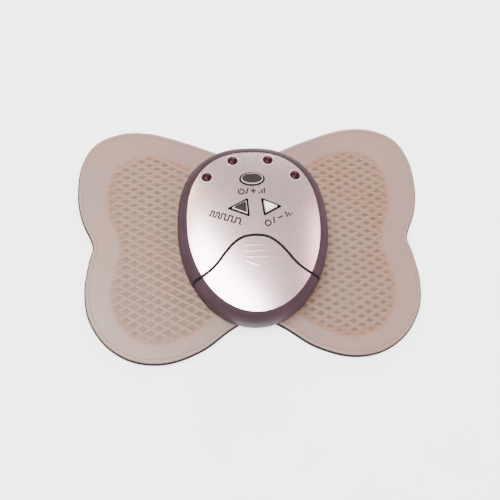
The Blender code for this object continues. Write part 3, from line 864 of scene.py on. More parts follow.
def pad_sheet(side, word, sizes, material, edge_shade):
    """Half of the butterfly sheet: rolled edge, fine border groove, netted window, gel recess."""
    top = sizes.thickness / MM
    outline = pad_outline()
    profile = [(0.55, 0.0), (0.2, 0.1), (0.0, 0.4), (0.0, 1.15), (0.12, 1.6), (0.36, 2.0),
               (0.68, 2.24), (1.3, top - 0.02), (1.9, top), (2.15, top), (2.3, top - 0.16),
               (2.6, top - 0.16), (2.75, top), (3.1, top)]
    sheet = loft(f"silicone_sheet_{word}", [at(inset(outline, d), z) for d, z in profile], material)
    window = loft("tool", [at(zone_outline(side, -1.6), top + 1),
                           at(zone_outline(side, -1.6), top + 0.01),
                           at(zone_outline(side, 0.9), top - sizes.window / MM)], None)
    recess = prism("tool_recess", zone_outline(side, -0.1), -1, 1.4)
    snap = turned("tool_snap", snap_place(word), [(1.6, -1), (1.6, 4)])
    half = box("tool_half", (0, side * 90), (-70, 70), (-5, 10))
    sheet = cut(sheet, [window, recess, snap])
    sheet = cut(sheet, [half], "INTERSECT")
    slice_grid(sheet, bend_cuts(side), spaced(-60, 60, 2))
    mark_window(sheet, side, sizes.fade / MM)
    shade_edge(sheet, edge_shade)
    return sheet


def nearest_in(border):
    """Search tree over the points of an outline."""
    tree = KDTree(len(border))
    for i, point in enumerate(border):
        tree.insert((*point, 0), i)
    tree.balance()
    return tree


def shade_edge(sheet, material, reach=0.76):
    """Gives the side wall and the rolled edge of the sheet the dark edge finish: painted shade along
    the outline.
    """
    tree = nearest_in(pad_outline(40))
    sheet.data.materials.append(material)
    places = sheet.data.vertices
    for face in sheet.data.polygons:
        away = [tree.find(Vector((places[i].co.x, places[i].co.y, 0)) / MM)[2]
                for i in face.vertices]
        if max(away) < reach and face.center.z > 0.05 * MM:
            face.material_index = 1


def mark_window(sheet, side, fade):
    """Point attribute that rises smoothly from 0 to 1 across the window's border."""
    border = zone_outline(side, 0.0, 30)
    inner = inset(border, 1.0)
    tree = nearest_in(border)
    layer = sheet.data.attributes.new("window", "FLOAT", "POINT")
    for vertex in sheet.data.vertices:
        here = Vector((vertex.co.x, vertex.co.y, 0)) / MM
        near, i, away = tree.find(here)
        inwards = (Vector(inner[i]) - near.xy).dot(here.xy - near.xy)
        share = min(max(0.5 + math.copysign(away, inwards) / fade, 0.0), 1.0)
        layer.data[vertex.index].value = share * share * (3 - 2 * share)


def snap_place(word):
    low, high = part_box(f"snap_socket_{word}")
    return ((low.x + high.x) / 2 / MM, (low.y + high.y) / 2 / MM)


class StimulatorOperator:
    """Shared parts of the operators."""
    bl_options = {"REGISTER", "UNDO"}

    @property
    def pad(self):
        return bpy.context.scene.stimulator_pad

    @property
    def case(self):
        return bpy.context.scene.stimulator_case

    @property
    def colours(self):
        return bpy.context.scene.stimulator_colours


class STIM_OT_sheet(StimulatorOperator, bpy.types.Operator):
    """Moulds the two halves of the silicone butterfly."""
    bl_idname = "stimulator.sheet"
    bl_label = "Silicone Sheet"

    def execute(self, context):
        material = silicone_moulded(self.colours, self.pad)
        for side, word in SIDES:
            sheet = pad_sheet(side, word, self.pad, material, silicone_edge_shade(self.colours))
            nodes = [f"pad_wing_{word}"] + (["pad_centre"] if side < 0 else [])
            bend_with(sheet)
            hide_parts(*nodes)
        return {"FINISHED"}


class STIM_OT_net(StimulatorOperator, bpy.types.Operator):
    """Lays the raised diamond net over each window."""
    bl_idname = "stimulator.net"
    bl_label = "Diamond Net"

    def execute(self, context):
        sizes = self.pad
        tree = net_tree()
        material = silicone_moulded(self.colours, sizes)
        floor = (sizes.thickness - sizes.window) / MM
        for side, word in SIDES:
            window = prism("window", zone_outline(side, 0.2), -1.0, 0.0)
            pattern = diamond_frame(sizes)
            net = run_tree(f"silicone_net_{word}", tree, window,
                           {"Long": sizes.net_long, "Short": sizes.net_short,
                            "Rib Width": sizes.rib_width, "Rib Height": sizes.rib_height,
                            "Reach X": NET_REACH_X, "Reach Y": NET_REACH_Y,
                            "Margin": 0.3 * sizes.net_short,
                            "Frame": pattern, "Material": material})
            bpy.data.objects.remove(pattern)
            net.data.transform(Matrix.Translation((0, 0, floor * MM)))
            mark_window(net, side, sizes.fade / MM)
            bend_with(net)
        return {"FINISHED"}


class STIM_OT_gel(StimulatorOperator, bpy.types.Operator):
    """Casts the gel and lays the conductive cloth above it."""
    bl_idname = "stimulator.gel"
    bl_label = "Gel and Cloth"

    def execute(self, context):
        layers = (("hydrogel", "gel", 0.0, 0.85, hydrogel(self.colours), "gel"),
                  ("conductive_cloth", "electrode", 0.98, 1.2, conductive_cloth(), "film"))
        for side, word in SIDES:
            for name, node, low, high, material, slot in layers:
                ease = min(0.3, (high - low) / 2.2)
                outline = zone_outline(side, 0.25)
                piece = loft(f"{name}_{word}", [at(inset(outline, ease), low),
                                                at(inset(outline, ease * 0.3), low + ease * 0.3),
                                                at(outline, low + ease), at(outline, high)],
                             material)
                slice_grid(piece, bend_cuts(side), spaced(-60, 60, 4))
                bend_with(piece)
                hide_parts(f"{node}_centre_{word}", f"{node}_wing_{word}")
        return {"FINISHED"}


# ---------------------------------------------------------------- hard pieces
def ride(piece, body, slot, *nodes):
    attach(piece, body)
    if nodes:
        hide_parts(*nodes)
    return piece


def node_centre(node):
    low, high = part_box(node)
    return ((low.x + high.x) / 2 / MM, (low.y + high.y) / 2 / MM)


def arch_line(shift):
    """Middle of the door's seam from right to left, moved backwards along its normals."""
    right = [(x, y - SEAM_MIDDLE) for x, y in smooth_curve(ARCH, 8, False)]
    line = [Vector(p) for p in right[::-1] + [(-x, y) for x, y in right[1:]]]
    moved = []
    for i, here in enumerate(line):
        along = line[min(i + 1, len(line) - 1)] - line[max(i - 1, 0)]
        moved.append(tuple(here + Vector((along.y, -along.x)).normalized() * shift))
    return moved


def door_plan(shift):
    """Everything in front of the door's seam, counter-clockwise."""
    return [(-60, -70), (60, -70), *arch_line(shift)]


DOME_STEPS = (1.0, 0.992, 0.975, 0.95, 0.91, 0.85, 0.77, 0.67, 0.55, 0.42, 0.28, 0.12)


def dome_shell(egg, name, material):
    """Silver skin of the whole face, with a rolled lower edge."""
    outer = [at(egg.ring(-0.28), egg.rim - 0.12), at(egg.ring(-0.12), egg.rim - 0.05)]
    outer += [at(egg.ring(0.0, s), egg.dome(s) + 0.05) for s in DOME_STEPS]
    inner = [at(egg.ring(-egg.wall, s), egg.dome(s) - egg.wall) for s in DOME_STEPS[2:]]
    inner = [ring for ring in inner if ring[0][2] > egg.rim]
    return loft(name, [*reversed(inner), at(egg.ring(-2 * egg.wall), egg.rim - 0.12), *outer],
                material)


def soften(obj, width, segments=2, angle=50):
    """Rounds the edges that a cut left."""
    mod = obj.modifiers.new("edge", "BEVEL")
    mod.width = width * MM
    mod.segments = segments
    mod.limit_method = "ANGLE"
    mod.angle_limit = math.radians(angle)
    return to_mesh(obj)


def key_holes():
    """Tools that cut the holes of the keys and lamps through the face."""
    tools = [prism(f"tool_{node}", key_outline(node), *ABOVE_FLOOR)
             for node in ("on_button", "program_button", "off_button")]
    for lamp in LAMPS:
        tools.append(turned("tool_lamp", node_centre(lamp), [(LAMP_HOLE, z) for z in ABOVE_FLOOR]))
    return tools


class STIM_OT_cover(StimulatorOperator, bpy.types.Operator):
    """Moulds the silver upper cover with its key and lamp holes."""
    bl_idname = "stimulator.cover"
    bl_label = "Upper Cover"

    def execute(self, context):
        egg = Egg(self.case)
        half = self.case.seam / MM / 2
        material = silver_lacquer(self.colours)
        cover = dome_shell(egg, "upper_cover_lacquered", material)
        cover = cut(cover, [prism("tool_door", door_plan(half), *THROUGH), *key_holes()])
        bosses = [self.boss(egg, node_centre(screw), material) for screw in SCREWS]
        ride(join("cover_screw_bosses", bosses), "controller", "silver")
        ride(cover, "controller", "silver", "upper_cover")
        self.seam_shade_lip(egg, half)
        return {"FINISHED"}

    def boss(self, egg, centre, material, radius=2.6):
        """Hollow post under the cover that ends inside the thickness of the face."""
        edge = ellipse(centre, radius, radius, 24)
        top = min(egg.face(x, y) for x, y in edge) - egg.wall / 2
        return turned("boss", centre, [(1.4, 7.2), (radius - 0.1, 7.2), (radius, 7.4),
                                       (radius, top)], material)

    def seam_shade_lip(self, egg, half):
        """Black lip that fills the seam from just under the surface: painted shade that makes the
        gap read dark.
        """
        strip = arch_line(half - 0.02)
        lip = prism("door_seal", strip + arch_line(0.1 - half)[::-1], 4.5, 30, gap_shade_black())
        lip = cut(lip, [solid_body(egg, 0.5)], "INTERSECT")
        lip = cut(lip, [solid_body(egg, egg.wall)])
        ride(lip, "controller", "black_plastic")


def skirt_rings(egg, inside=0.0, steps=18):
    """Rings down the skirt from the rim to the base, moved in by a wall.

    The first few inner rings also drop a little, so that the wall keeps its thickness at the rim.
    """
    rings = []
    for i in range(steps + 1):
        offset, z = egg.skirt(i / steps)
        drop = 0.3 if inside > 0 and i < 4 else 0.0
        rings.append(at(egg.ring(offset - inside), z - drop))
    return rings


def solid_body(egg, inside):
    """The whole case as one solid, moved in by a distance."""
    rings = list(reversed(skirt_rings(egg, inside)))
    rings += [at(egg.ring(-inside, s), egg.dome(s) - inside) for s in DOME_STEPS]
    return loft("body", rings)


class STIM_OT_lower_case(StimulatorOperator, bpy.types.Operator):
    """Moulds the dark lower case: skirt, floor, battery bay, snap domes and screw pillars."""
    bl_idname = "stimulator.lower_case"
    bl_label = "Lower Case"

    def execute(self, context):
        egg = Egg(self.case)
        material = mauve_plastic(self.colours)
        base, floor = egg.base, egg.base + 1.2
        out = egg.flare
        outer = [at(egg.ring(out - 0.75), base), at(egg.ring(out - 0.3), base + 0.12),
                 *reversed(skirt_rings(egg))]
        inner = [ring for ring in skirt_rings(egg, egg.wall) if ring[0][2] > floor + 0.2]
        inner = inner[1:]
        tub = loft("lower_case_moulded", [*outer, at(egg.ring(-0.9), egg.rim - 0.3), *inner,
                                          at(egg.ring(out - egg.wall), floor)], material)
        tub = cut(tub, [prism("tool_door", door_plan(self.case.seam / MM / 2), *THROUGH)])
        tub = cut(tub, self.additions(egg, floor), "UNION")
        tub = cut(tub, self.removals())
        dress(tub, material)
        ride(tub, "controller", "mauve", "lower_case")
        return {"FINISHED"}

    def additions(self, egg, floor):
        """The floor's tongue under the door, the battery bay's walls, snap domes and pillars."""
        low = floor - 0.4
        bay_top, rear_top, rib_top, wall = 11, 13, 5.6, 1.1
        tongue = prism("floor", egg.ring(egg.flare - egg.wall - 0.4), egg.base, floor)
        tongue = cut(tongue, [box("tool", (-50, 50), (-18, 60), (0, 20))])
        side = max(corner("cell_right", 1, 0), corner("contact_bridge", 1, 0)) / MM + 0.3
        front = corner("contact_bridge", 0, 1) / MM - 0.5
        rear = corner("contact_positive", 1, 1) / MM + 0.4
        length, width = (front - wall, rear + wall), (-side - 0.5, side + 0.5)
        walls = [box("wall_left", (-side - wall, -side), length, (low, bay_top)),
                 box("wall_right", (side, side + wall), length, (low, bay_top)),
                 box("wall_front", width, (front - wall, front), (low, bay_top)),
                 box("wall_rear", width, (rear, rear + wall), (low, rear_top)),
                 box("rib", (-0.25, 0.25), (front - 0.5, rear + 0.5), (low, rib_top))]
        domes = [turned("dome", snap_place(word), [(7.2, low), (7.2, 6.4), (7.0, 6.8), (6.5, 7.2)])
                 for _, word in SIDES]
        pillars = [turned("pillar", node_centre(s), [(3.5, low), (3.5, 6.6), (3.3, 6.8)])
                   for s in SCREWS]
        return [tongue, *walls, *domes, *pillars]

    def removals(self):
        """Tools that hollow the snap domes and sink the screws."""
        tools = []
        for _, word in SIDES:
            tools.append(turned("pocket", snap_place(word), [(6.3, 2.5), (6.0, 3.3), (6.0, 6.0)]))
            tools.append(turned("neck", snap_place(word), [(1.5, 5), (1.5, 9)]))
        for screw in SCREWS:
            tools.append(turned("sink", node_centre(screw), [(2.9, 2.5), (2.6, 3.3), (2.6, 5.4)]))
            tools.append(turned("shank", node_centre(screw), [(1.4, 5), (1.4, 9)]))
        return tools


class STIM_OT_door(StimulatorOperator, bpy.types.Operator):
    """Makes the sliding battery door: silver face, dark skirt and its slide mark."""
    bl_idname = "stimulator.door"
    bl_label = "Battery Door"

    def execute(self, context):
        egg = Egg(self.case)
        reach = -self.case.seam / MM / 2
        silver = silver_lacquer(self.colours)
        face = dome_shell(egg, "battery_door_face", silver)
        face = cut(face, [prism("tool", door_plan(reach), *THROUGH)], "INTERSECT")
        low = corner("battery_door", 0, 2) / MM
        rings = skirt_rings(egg)
        outer = [r for r in rings if r[0][2] > low + 0.3]
        inner = [r for r in skirt_rings(egg, egg.wall) if r[0][2] > low + 0.3][1:]
        lip = [at(egg.ring(egg.flare - 0.15), low + 0.12), at(egg.ring(egg.flare - 0.45), low),
               at(egg.ring(egg.flare - egg.wall), low)]
        # the loft closes both its ends; the first cut takes the lids away and leaves a band
        skirt = loft("battery_door_skirt", [at(egg.ring(-0.9), egg.rim - 0.3), *outer, *lip,
                                            *reversed(inner)], mauve_plastic(self.colours))
        skirt = cut(skirt, [prism("tool", egg.ring(-1.6), *THROUGH)])
        skirt = cut(skirt, [prism("tool", door_plan(reach), *THROUGH)], "INTERSECT")
        ride(face, "battery_door", "silver", "battery_door")
        ride(skirt, "battery_door", "mauve")
        ride(self.slide_mark(egg, silver), "battery_door", "silver")
        return {"FINISHED"}

    def slide_mark(self, egg, material):
        """Three raised bars and an arrow head that points the way the door slides."""
        strokes = [[(-5.0, y), (6.2, y)] for y in (-9.4, -12.3, -15.3)]
        strokes.append([(-4.6, -17.4), (0.6, -19.6), (5.8, -17.4)])
        return ridges("slide_mark", strokes, egg, 0.6, 0.06, material, 0.2)


def ridges(name, strokes, egg, half_width, height, material, flat=0.35):
    """Raised strokes on the face, each with sloped sides; height 0.03 or less reads as print."""
    bm = bmesh.new()
    for stroke in strokes:
        closed = stroke[0] == stroke[-1]
        path = [Vector(p) for p in (stroke[:-1] if closed else stroke)]
        path = finer(path, closed)
        rows = []
        for i, here in enumerate(path):
            before = path[i - 1] if i or closed else here
            after = path[(i + 1) % len(path)] if i + 1 < len(path) or closed else here
            along = (after - before).normalized()
            across = Vector((-along.y, along.x))
            row = []
            for share, lift in ((1.0, -0.12), (1.0, 0.25 * height), (flat, height),
                                (-flat, height), (-1.0, 0.25 * height), (-1.0, -0.12)):
                x, y = here + across * half_width * share
                row.append(bm.verts.new(Vector((x, y, egg.face(x, y) + 0.05 + lift)) * MM))
            rows.append(row)
        pairs = list(zip(rows, rows[1:])) + ([(rows[-1], rows[0])] if closed else [])
        for first, second in pairs:
            for k in range(6):
                m = (k + 1) % 6
                bm.faces.new((first[k], first[m], second[m], second[k]))
        if not closed:
            bm.faces.new(rows[0])
            bm.faces.new(list(reversed(rows[-1])))
    bmesh.ops.recalc_face_normals(bm, faces=bm.faces)
    return from_bmesh(name, bm, material)


def finer(path, closed, step=0.5):
    """Points added along a path so that it follows the dome."""
    ends = path[1:] + ([path[0]] if closed else [])
    fine = []
    for start, end in zip(path, ends):
        parts = max(1, round((end - start).length / step))
        fine += [start.lerp(end, k / parts) for k in range(parts)]
    return fine if closed else fine + [path[-1]]


def arc(centre, radius, start, end, count=16):
    turns = [math.radians(start + (end - start) * i / count) for i in range(count + 1)]
    return [(centre[0] + radius * math.cos(t), centre[1] + radius * math.sin(t)) for t in turns]


def hoop(centre, radius, count=16):
    """Closed circle: its last point is its first."""
    circle = arc(centre, radius, 0, 360, count)
    return circle[:-1] + circle[:1]


def tilted(strokes, centre, degrees):
    """Strokes drawn about the origin, turned and moved into place."""
    turn = Matrix.Rotation(math.radians(degrees), 2)
    return [[tuple(Vector(centre) + turn @ Vector(p)) for p in stroke] for stroke in strokes]


class STIM_OT_signs(StimulatorOperator, bpy.types.Operator):
    """Prints the generic signs beside the keys: power and plus, a pulse train, off and minus."""
    bl_idname = "stimulator.signs"
    bl_label = "Printed Signs"

    def execute(self, context):
        egg = Egg(self.case)
        power = [arc((-5.2, -0.1), 1.4, 125, 415), [(-5.2, 0.2), (-5.2, 1.6)]]
        slash = [[(-2.9, -1.5), (-1.7, 1.5)]]
        plus = [[(-0.6, 0), (2.0, 0)], [(0.7, -1.3), (0.7, 1.3)]]
        rising = [[(3.6 + 1.3 * i, -1.5), (3.6 + 1.3 * i, -0.5 + 1.0 * i)] for i in range(3)]
        strokes = tilted(power + slash + plus + rising, (-0.3, 18.7), 1)
        strokes += tilted(self.pulses(), (-12.6, 4.6), -20)
        circle = hoop((-6.3, 0), 1.4)
        minus = [[(-0.6, 0), (2.0, 0)]]
        falling = [[(4.0 + 1.3 * i, -1.5), (4.0 + 1.3 * i, 1.5 - 1.0 * i)] for i in range(3)]
        slash = [[(-3.6, -1.5), (-2.4, 1.5)]]
        strokes += tilted([circle] + slash + minus + falling, (12.3, 4.1), 26)
        signs = ridges("printed_signs", strokes, egg, 0.36, 0.03, ink_print(self.colours), 0.98)
        ride(signs, "controller", "silver")
        return {"FINISHED"}

    def pulses(self):
        """Square pulses of three widths, as on a programme selector."""
        path = [(-9.4, -1.4)]
        x = -8.6
        for width in (1.3, 1.3, 1.8, 1.8, 2.3):
            path += [(x, -1.4), (x, 1.4), (x + width, 1.4), (x + width, -1.4)]
            x += 2 * width
        return [path + [(x - 1.4, -1.4)]]


# ---------------------------------------------------------------- keys and lamps
def key_outline(node, inside=0.0):
    """Outline of a key's hole, or that outline moved inwards."""
    if node == "on_button":
        return ellipse(node_centre(node), ON_KEY[0] - inside, ON_KEY[1] - inside, 72)
    corners = PROGRAM_TRI if node == "program_button" else OFF_TRI
    return rounded(inset(corners, inside), KEY_CORNER)


def key_rim(node, level, top, dish):
    """Rings of a key from below the face, up its sloped rim, to the step round its inlay."""
    steps = [(KEY_SHOWS, level - 3.0), (KEY_SHOWS, level - 0.1), (KEY_SHOWS + 0.05, level + 0.3),
             (KEY_SHOWS + 0.2, top - 0.3), (KEY_SHOWS + 0.4, top - 0.08),
             (dish - 0.15, top), (dish, top - 0.02), (dish + 0.1, top - 0.2)]
    return [at(key_outline(node, d), z) for d, z in steps]


def shrunk(outline, centre, scale):
    return [(centre[0] + (x - centre[0]) * scale, centre[1] + (y - centre[1]) * scale)
            for x, y in outline]


def middle(outline):
    return (sum(x for x, _ in outline) / len(outline), sum(y for _, y in outline) / len(outline))


class STIM_OT_keys(StimulatorOperator, bpy.types.Operator):
    """Makes the three keys: plated rim, inlay, and the dark liner of each hole, a black sleeve that
    is painted shade.
    """
    bl_idname = "stimulator.keys"
    bl_label = "Keys"

    def execute(self, context):
        egg = Egg(self.case)
        dark = key_plastic("abs_key_dark", self.colours.dark_key)
        # the off key's white inlay is a painted highlight: its bright reflection is painted in as
        # colour
        white = key_plastic("abs_key_white", self.colours.white_key)
        keys = (("on_button", dark, "dark_key", 1.4, 0.4),
                ("program_button", dark, "dark_key", 1.3, 0.25),
                ("off_button", white, "white_key", 1.4, 0.3))
        for node, material, slot, dish, crown in keys:
            self.make_key(egg, node, material, slot, dish, crown)
            self.make_shade_liner(egg, node)
        return {"FINISHED"}

    def make_key(self, egg, node, material, slot, dish, crown):
        top = corner(node, 1, 2) / MM
        centre = middle(key_outline(node))
        rim = loft(f"{node}_rim", key_rim(node, egg.face(*centre), top, dish), plated_bevel())
        ride(rim, node, slot, node)
        edge = key_outline(node, dish + 0.05)
        rings = [at(edge, top - 0.5), at(edge, top - 0.05)]
        for share in (0.25, 0.5, 0.75, 0.92):
            rings.append(at(shrunk(edge, centre, 1 - share), top - 0.05 + crown * share * 0.5))
        ride(loft(f"{node}_inlay", rings, material), node, slot)

    def make_shade_liner(self, egg, node):
        """Black sleeve that lines the hole, just below the face: painted shade for the dark gap
        round the key.
        """
        bm = bmesh.new()
        rows = []
        for depth, drop in ((-0.02, 0.1), (0.35, 0.25), (0.35, 1.6), (-0.02, 1.6)):
            ring = key_outline(node, depth)
            rows.append([bm.verts.new(Vector((x, y, egg.face(x, y) - drop)) * MM) for x, y in ring])
        for first, second in zip(rows, rows[1:] + rows[:1]):
            for i in range(len(first)):
                j = (i + 1) % len(first)
                bm.faces.new((first[i], first[j], second[j], second[i]))
        bmesh.ops.recalc_face_normals(bm, faces=bm.faces)
        liner = from_bmesh(f"{node}_liner", bm, gap_shade_black())
        ride(liner, "controller", "black_plastic")


class STIM_OT_lamps(StimulatorOperator, bpy.types.Operator):
    """Makes the four lamp domes and the bright ring round each."""
    bl_idname = "stimulator.lamps"
    bl_label = "Lamps"

    def execute(self, context):
        egg = Egg(self.case)
        for lamp in LAMPS:
            centre = node_centre(lamp)
            low, top = corner(lamp, 0, 2) / MM, corner(lamp, 1, 2) / MM
            profile = [(2.7, low), (2.7, low + 0.9), (LAMP_RADIUS, low + 0.9),
                       (LAMP_RADIUS, top - 1.0)]
            for i in range(1, 9):
                turn = i / 8 * math.pi / 2
                profile.append((max(LAMP_RADIUS * math.cos(turn), 0.06),
                                top - 1.0 + math.sin(turn)))
            dome = turned(f"{lamp}_lens", centre, profile, lamp_lens(self.colours))
            self.mark_core(dome, centre)
            ride(dome, "controller", "lamp", lamp)
        self.rings(egg)
        return {"FINISHED"}

    def mark_core(self, dome, centre):
        """Point attribute that rises to 1 over the lamp's core."""
        layer = dome.data.attributes.new("core", "FLOAT", "POINT")
        for vertex in dome.data.vertices:
            away = math.hypot(vertex.co.x / MM - centre[0], vertex.co.y / MM - centre[1])
            layer.data[vertex.index].value = max(0.0, 1 - away / LAMP_RADIUS)

    def rings(self, egg):
        finish = plain("abs_rose_plated", "#b59497", "#c9abac", 900, (0.35, 0.5), 0.5)
        strokes = [hoop(node_centre(lamp), 2.95, 40) for lamp in LAMPS]
        ride(ridges("lamp_rings", strokes, egg, 0.3, 0.07, finish), "controller", "silver")


# ---------------------------------------------------------------- what opens up
def cell_jacket():
    """Printed steel jacket of a dry cell: satin bands, no lettering."""
    name = "steel_printed_jacket"
    if name in bpy.data.materials:
        return bpy.data.materials[name]
    material, tree, shader, place = begin(name, **{"Metallic": 0.5, "Coat Weight": 0.3,
                                                   "Coat Roughness": 0.15})
    band = add(tree, "ShaderNodeAttribute", attribute_name="band").outputs["Fac"]
    body = tinted(tree, grain(tree, place, 300, 3.0), paint("#2c3038"), paint("#3a3f49"))
    mix = add(tree, "ShaderNodeMix", {0: band, 6: body, 7: paint("#b98a3c")}, data_type="RGBA")
    tree.links.new(mix.outputs[2], shader.inputs["Base Color"])
    spread(tree, shader, grain(tree, place, 900, 2.0), 0.25, 0.36)
    relief(tree, shader, grain(tree, place, 700, 2.0), 0.00001)
    return material


class STIM_OT_battery(StimulatorOperator, bpy.types.Operator):
    """Makes the two cells and their contact plates."""
    bl_idname = "stimulator.battery"
    bl_label = "Battery"

    def execute(self, context):
        for word, flip in (("left", False), ("right", True)):
            self.cell(word, flip)
        self.contacts()
        return {"FINISHED"}

    def cell(self, word, flip):
        """One cell: a can with a paler band at its positive end, and its button."""
        low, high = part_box(f"cell_{word}")
        x, z = (low.x + high.x) / 2 / MM, (low.z + high.z) / 2 / MM
        length, radius = (high.y - low.y) / MM, (high.x - low.x) / 2 / MM
        tail = length - 1.1
        profile = [(radius - 1.6, 0.0), (radius - 1.2, 0.15), (radius - 0.5, 0.1),
                   (radius - 0.1, 0.25), (radius, 0.6), (radius, 12.0), (radius, 12.4),
                   (radius, tail - 0.7), (radius - 0.15, tail - 0.3), (radius - 0.6, tail - 0.15),
                   (radius - 0.9, tail - 0.3), (2.2, tail - 0.25), (1.9, tail), (1.9, length - 0.25),
                   (1.65, length)]
        if flip:
            profile = [(r, length - y) for r, y in reversed(profile)]
        profile = [(r, low.y / MM + y) for r, y in profile]
        cell = turned_y(f"cell_{word}_jacketed", x, z, profile, cell_jacket())
        layer = cell.data.attributes.new("band", "FLOAT", "FACE")
        for face in cell.data.polygons:
            along = face.center.y / MM - low.y / MM
            along = length - along if flip else along
            layer.data[face.index].value = float(0.5 < along < 12.2)
        ride(cell, "controller", "cell_jacket", f"cell_{word}")

    def contacts(self):
        nickel = nickel_plate()
        for node in ("contact_bridge", "contact_positive", "contact_negative"):
            low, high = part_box(node)
            plate = box(f"{node}_plate", (low.x / MM, high.x / MM), (low.y / MM, high.y / MM),
                        (low.z / MM, high.z / MM), nickel)
            ride(soften(plate, 0.1), "controller", "steel", node)


class STIM_OT_snaps(StimulatorOperator, bpy.types.Operator):
    """Turns the snap sockets on the pad and the studs under the case."""
    bl_idname = "stimulator.snaps"
    bl_label = "Snaps"

    def execute(self, context):
        nickel = nickel_plate()
        for _, word in SIDES:
            centre = snap_place(word)
            base = corner(f"snap_socket_{word}", 1, 2) / MM - 2.2
            socket = [(1.3, 1.55), (1.3, base), (4.45, base), (4.6, base + 0.12),
                      (4.6, base + 0.3), (4.4, base + 0.42), (4.1, base + 0.5), (4.0, base + 1.7),
                      (3.85, base + 2.05), (3.5, base + 2.2), (3.0, base + 2.15),
                      (2.6, base + 1.8), (2.5, base + 1.4), (2.6, base + 0.6), (2.2, base + 0.5)]
            ride(turned(f"snap_socket_{word}_turned", centre, socket, nickel), "pad", "steel",
                 f"snap_socket_{word}")
            foot = corner(f"snap_stud_{word}", 0, 2) / MM
            stud = [(0.5, foot), (1.1, foot + 0.05), (1.6, foot + 0.25), (1.95, foot + 0.6),
                    (2.05, foot + 0.95), (1.85, foot + 1.3), (1.5, foot + 1.6), (1.3, foot + 1.8),
                    (3.0, foot + 1.8), (3.2, foot + 1.88), (3.2, foot + 2.05), (3.1, foot + 2.1),
                    (1.2, foot + 2.1), (1.2, foot + 3.9), (2.3, foot + 3.9), (2.4, foot + 4.0),
                    (2.3, foot + 4.3), (1.6, foot + 4.4)]
            ride(turned(f"snap_stud_{word}_turned", centre, stud, nickel), "controller", "steel",
                 f"snap_stud_{word}")
        return {"FINISHED"}


class STIM_OT_screws(StimulatorOperator, bpy.types.Operator):
    """Stands the four cross-recessed screws in their sinks."""
    bl_idname = "stimulator.screws"
    bl_label = "Case Screws"

    def execute(self, context):
        nickel = nickel_plate()
        profile = [(1.5, 0.0), (1.95, 0.12), (2.25, 0.5), (2.3, 0.9), (2.25, 1.6), (1.0, 1.6)]
        for i in range(14):
            profile += [(0.82, 2.0 + 0.5 * i), (1.05, 2.25 + 0.5 * i)]
        profile.append((0.3, 9.1))
        screw = turned("screw", (0, 0), profile, nickel, 24)
        slots = [box("slot_x", (-1.25, 1.25), (-0.25, 0.25), (-1.0, 0.8)),
                 box("slot_y", (-0.25, 0.25), (-1.25, 1.25), (-1.0, 0.8))]
        screw = cut(screw, slots)
        height = corner(SCREWS[0], 0, 2) / MM
        places = [(*node_centre(name), height) for name in SCREWS]
        screws = copies("case_screws", screw, places, nickel)
        ride(screws, "controller", "steel", *SCREWS)
        return {"FINISHED"}


class STIM_OT_electronics(StimulatorOperator, bpy.types.Operator):
    """Gives the board and the parts on it their finishes."""
    bl_idname = "stimulator.electronics"
    bl_label = "Electronics"

    def execute(self, context):
        # glass-epoxy board under green lacquer: faint glass weave
        board = plain("epoxy_green_lacquer", "#0d4a24", "#146434", 260, (0.3, 0.45))
        # moulded black epoxy: fine, matt
        black = plain("epoxy_black_moulded", "#141416", "#202024", 1500, (0.5, 0.7))
        # enamelled copper winding: glossy brown-red
        copper = plain("copper_enamelled", "#8a3f1c", "#b45a2c", 1500, (0.25, 0.4), 0.9)
        # soft vinyl insulation
        vinyl = plain("vinyl_red", "#7c1414", "#971c1c", 700, (0.4, 0.55))
        finishes = {"main_board": board, "control_chip": black, "on_switch": black,
                    "program_switch": black, "off_switch": black, "storage_capacitor": black,
                    "boost_coil": copper, "stud_lead_left": vinyl, "stud_lead_right": vinyl}
        for name, finish in finishes.items():
            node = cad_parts[name]
            node.data.materials.clear()
            node.data.materials.append(finish)
        return {"FINISHED"}


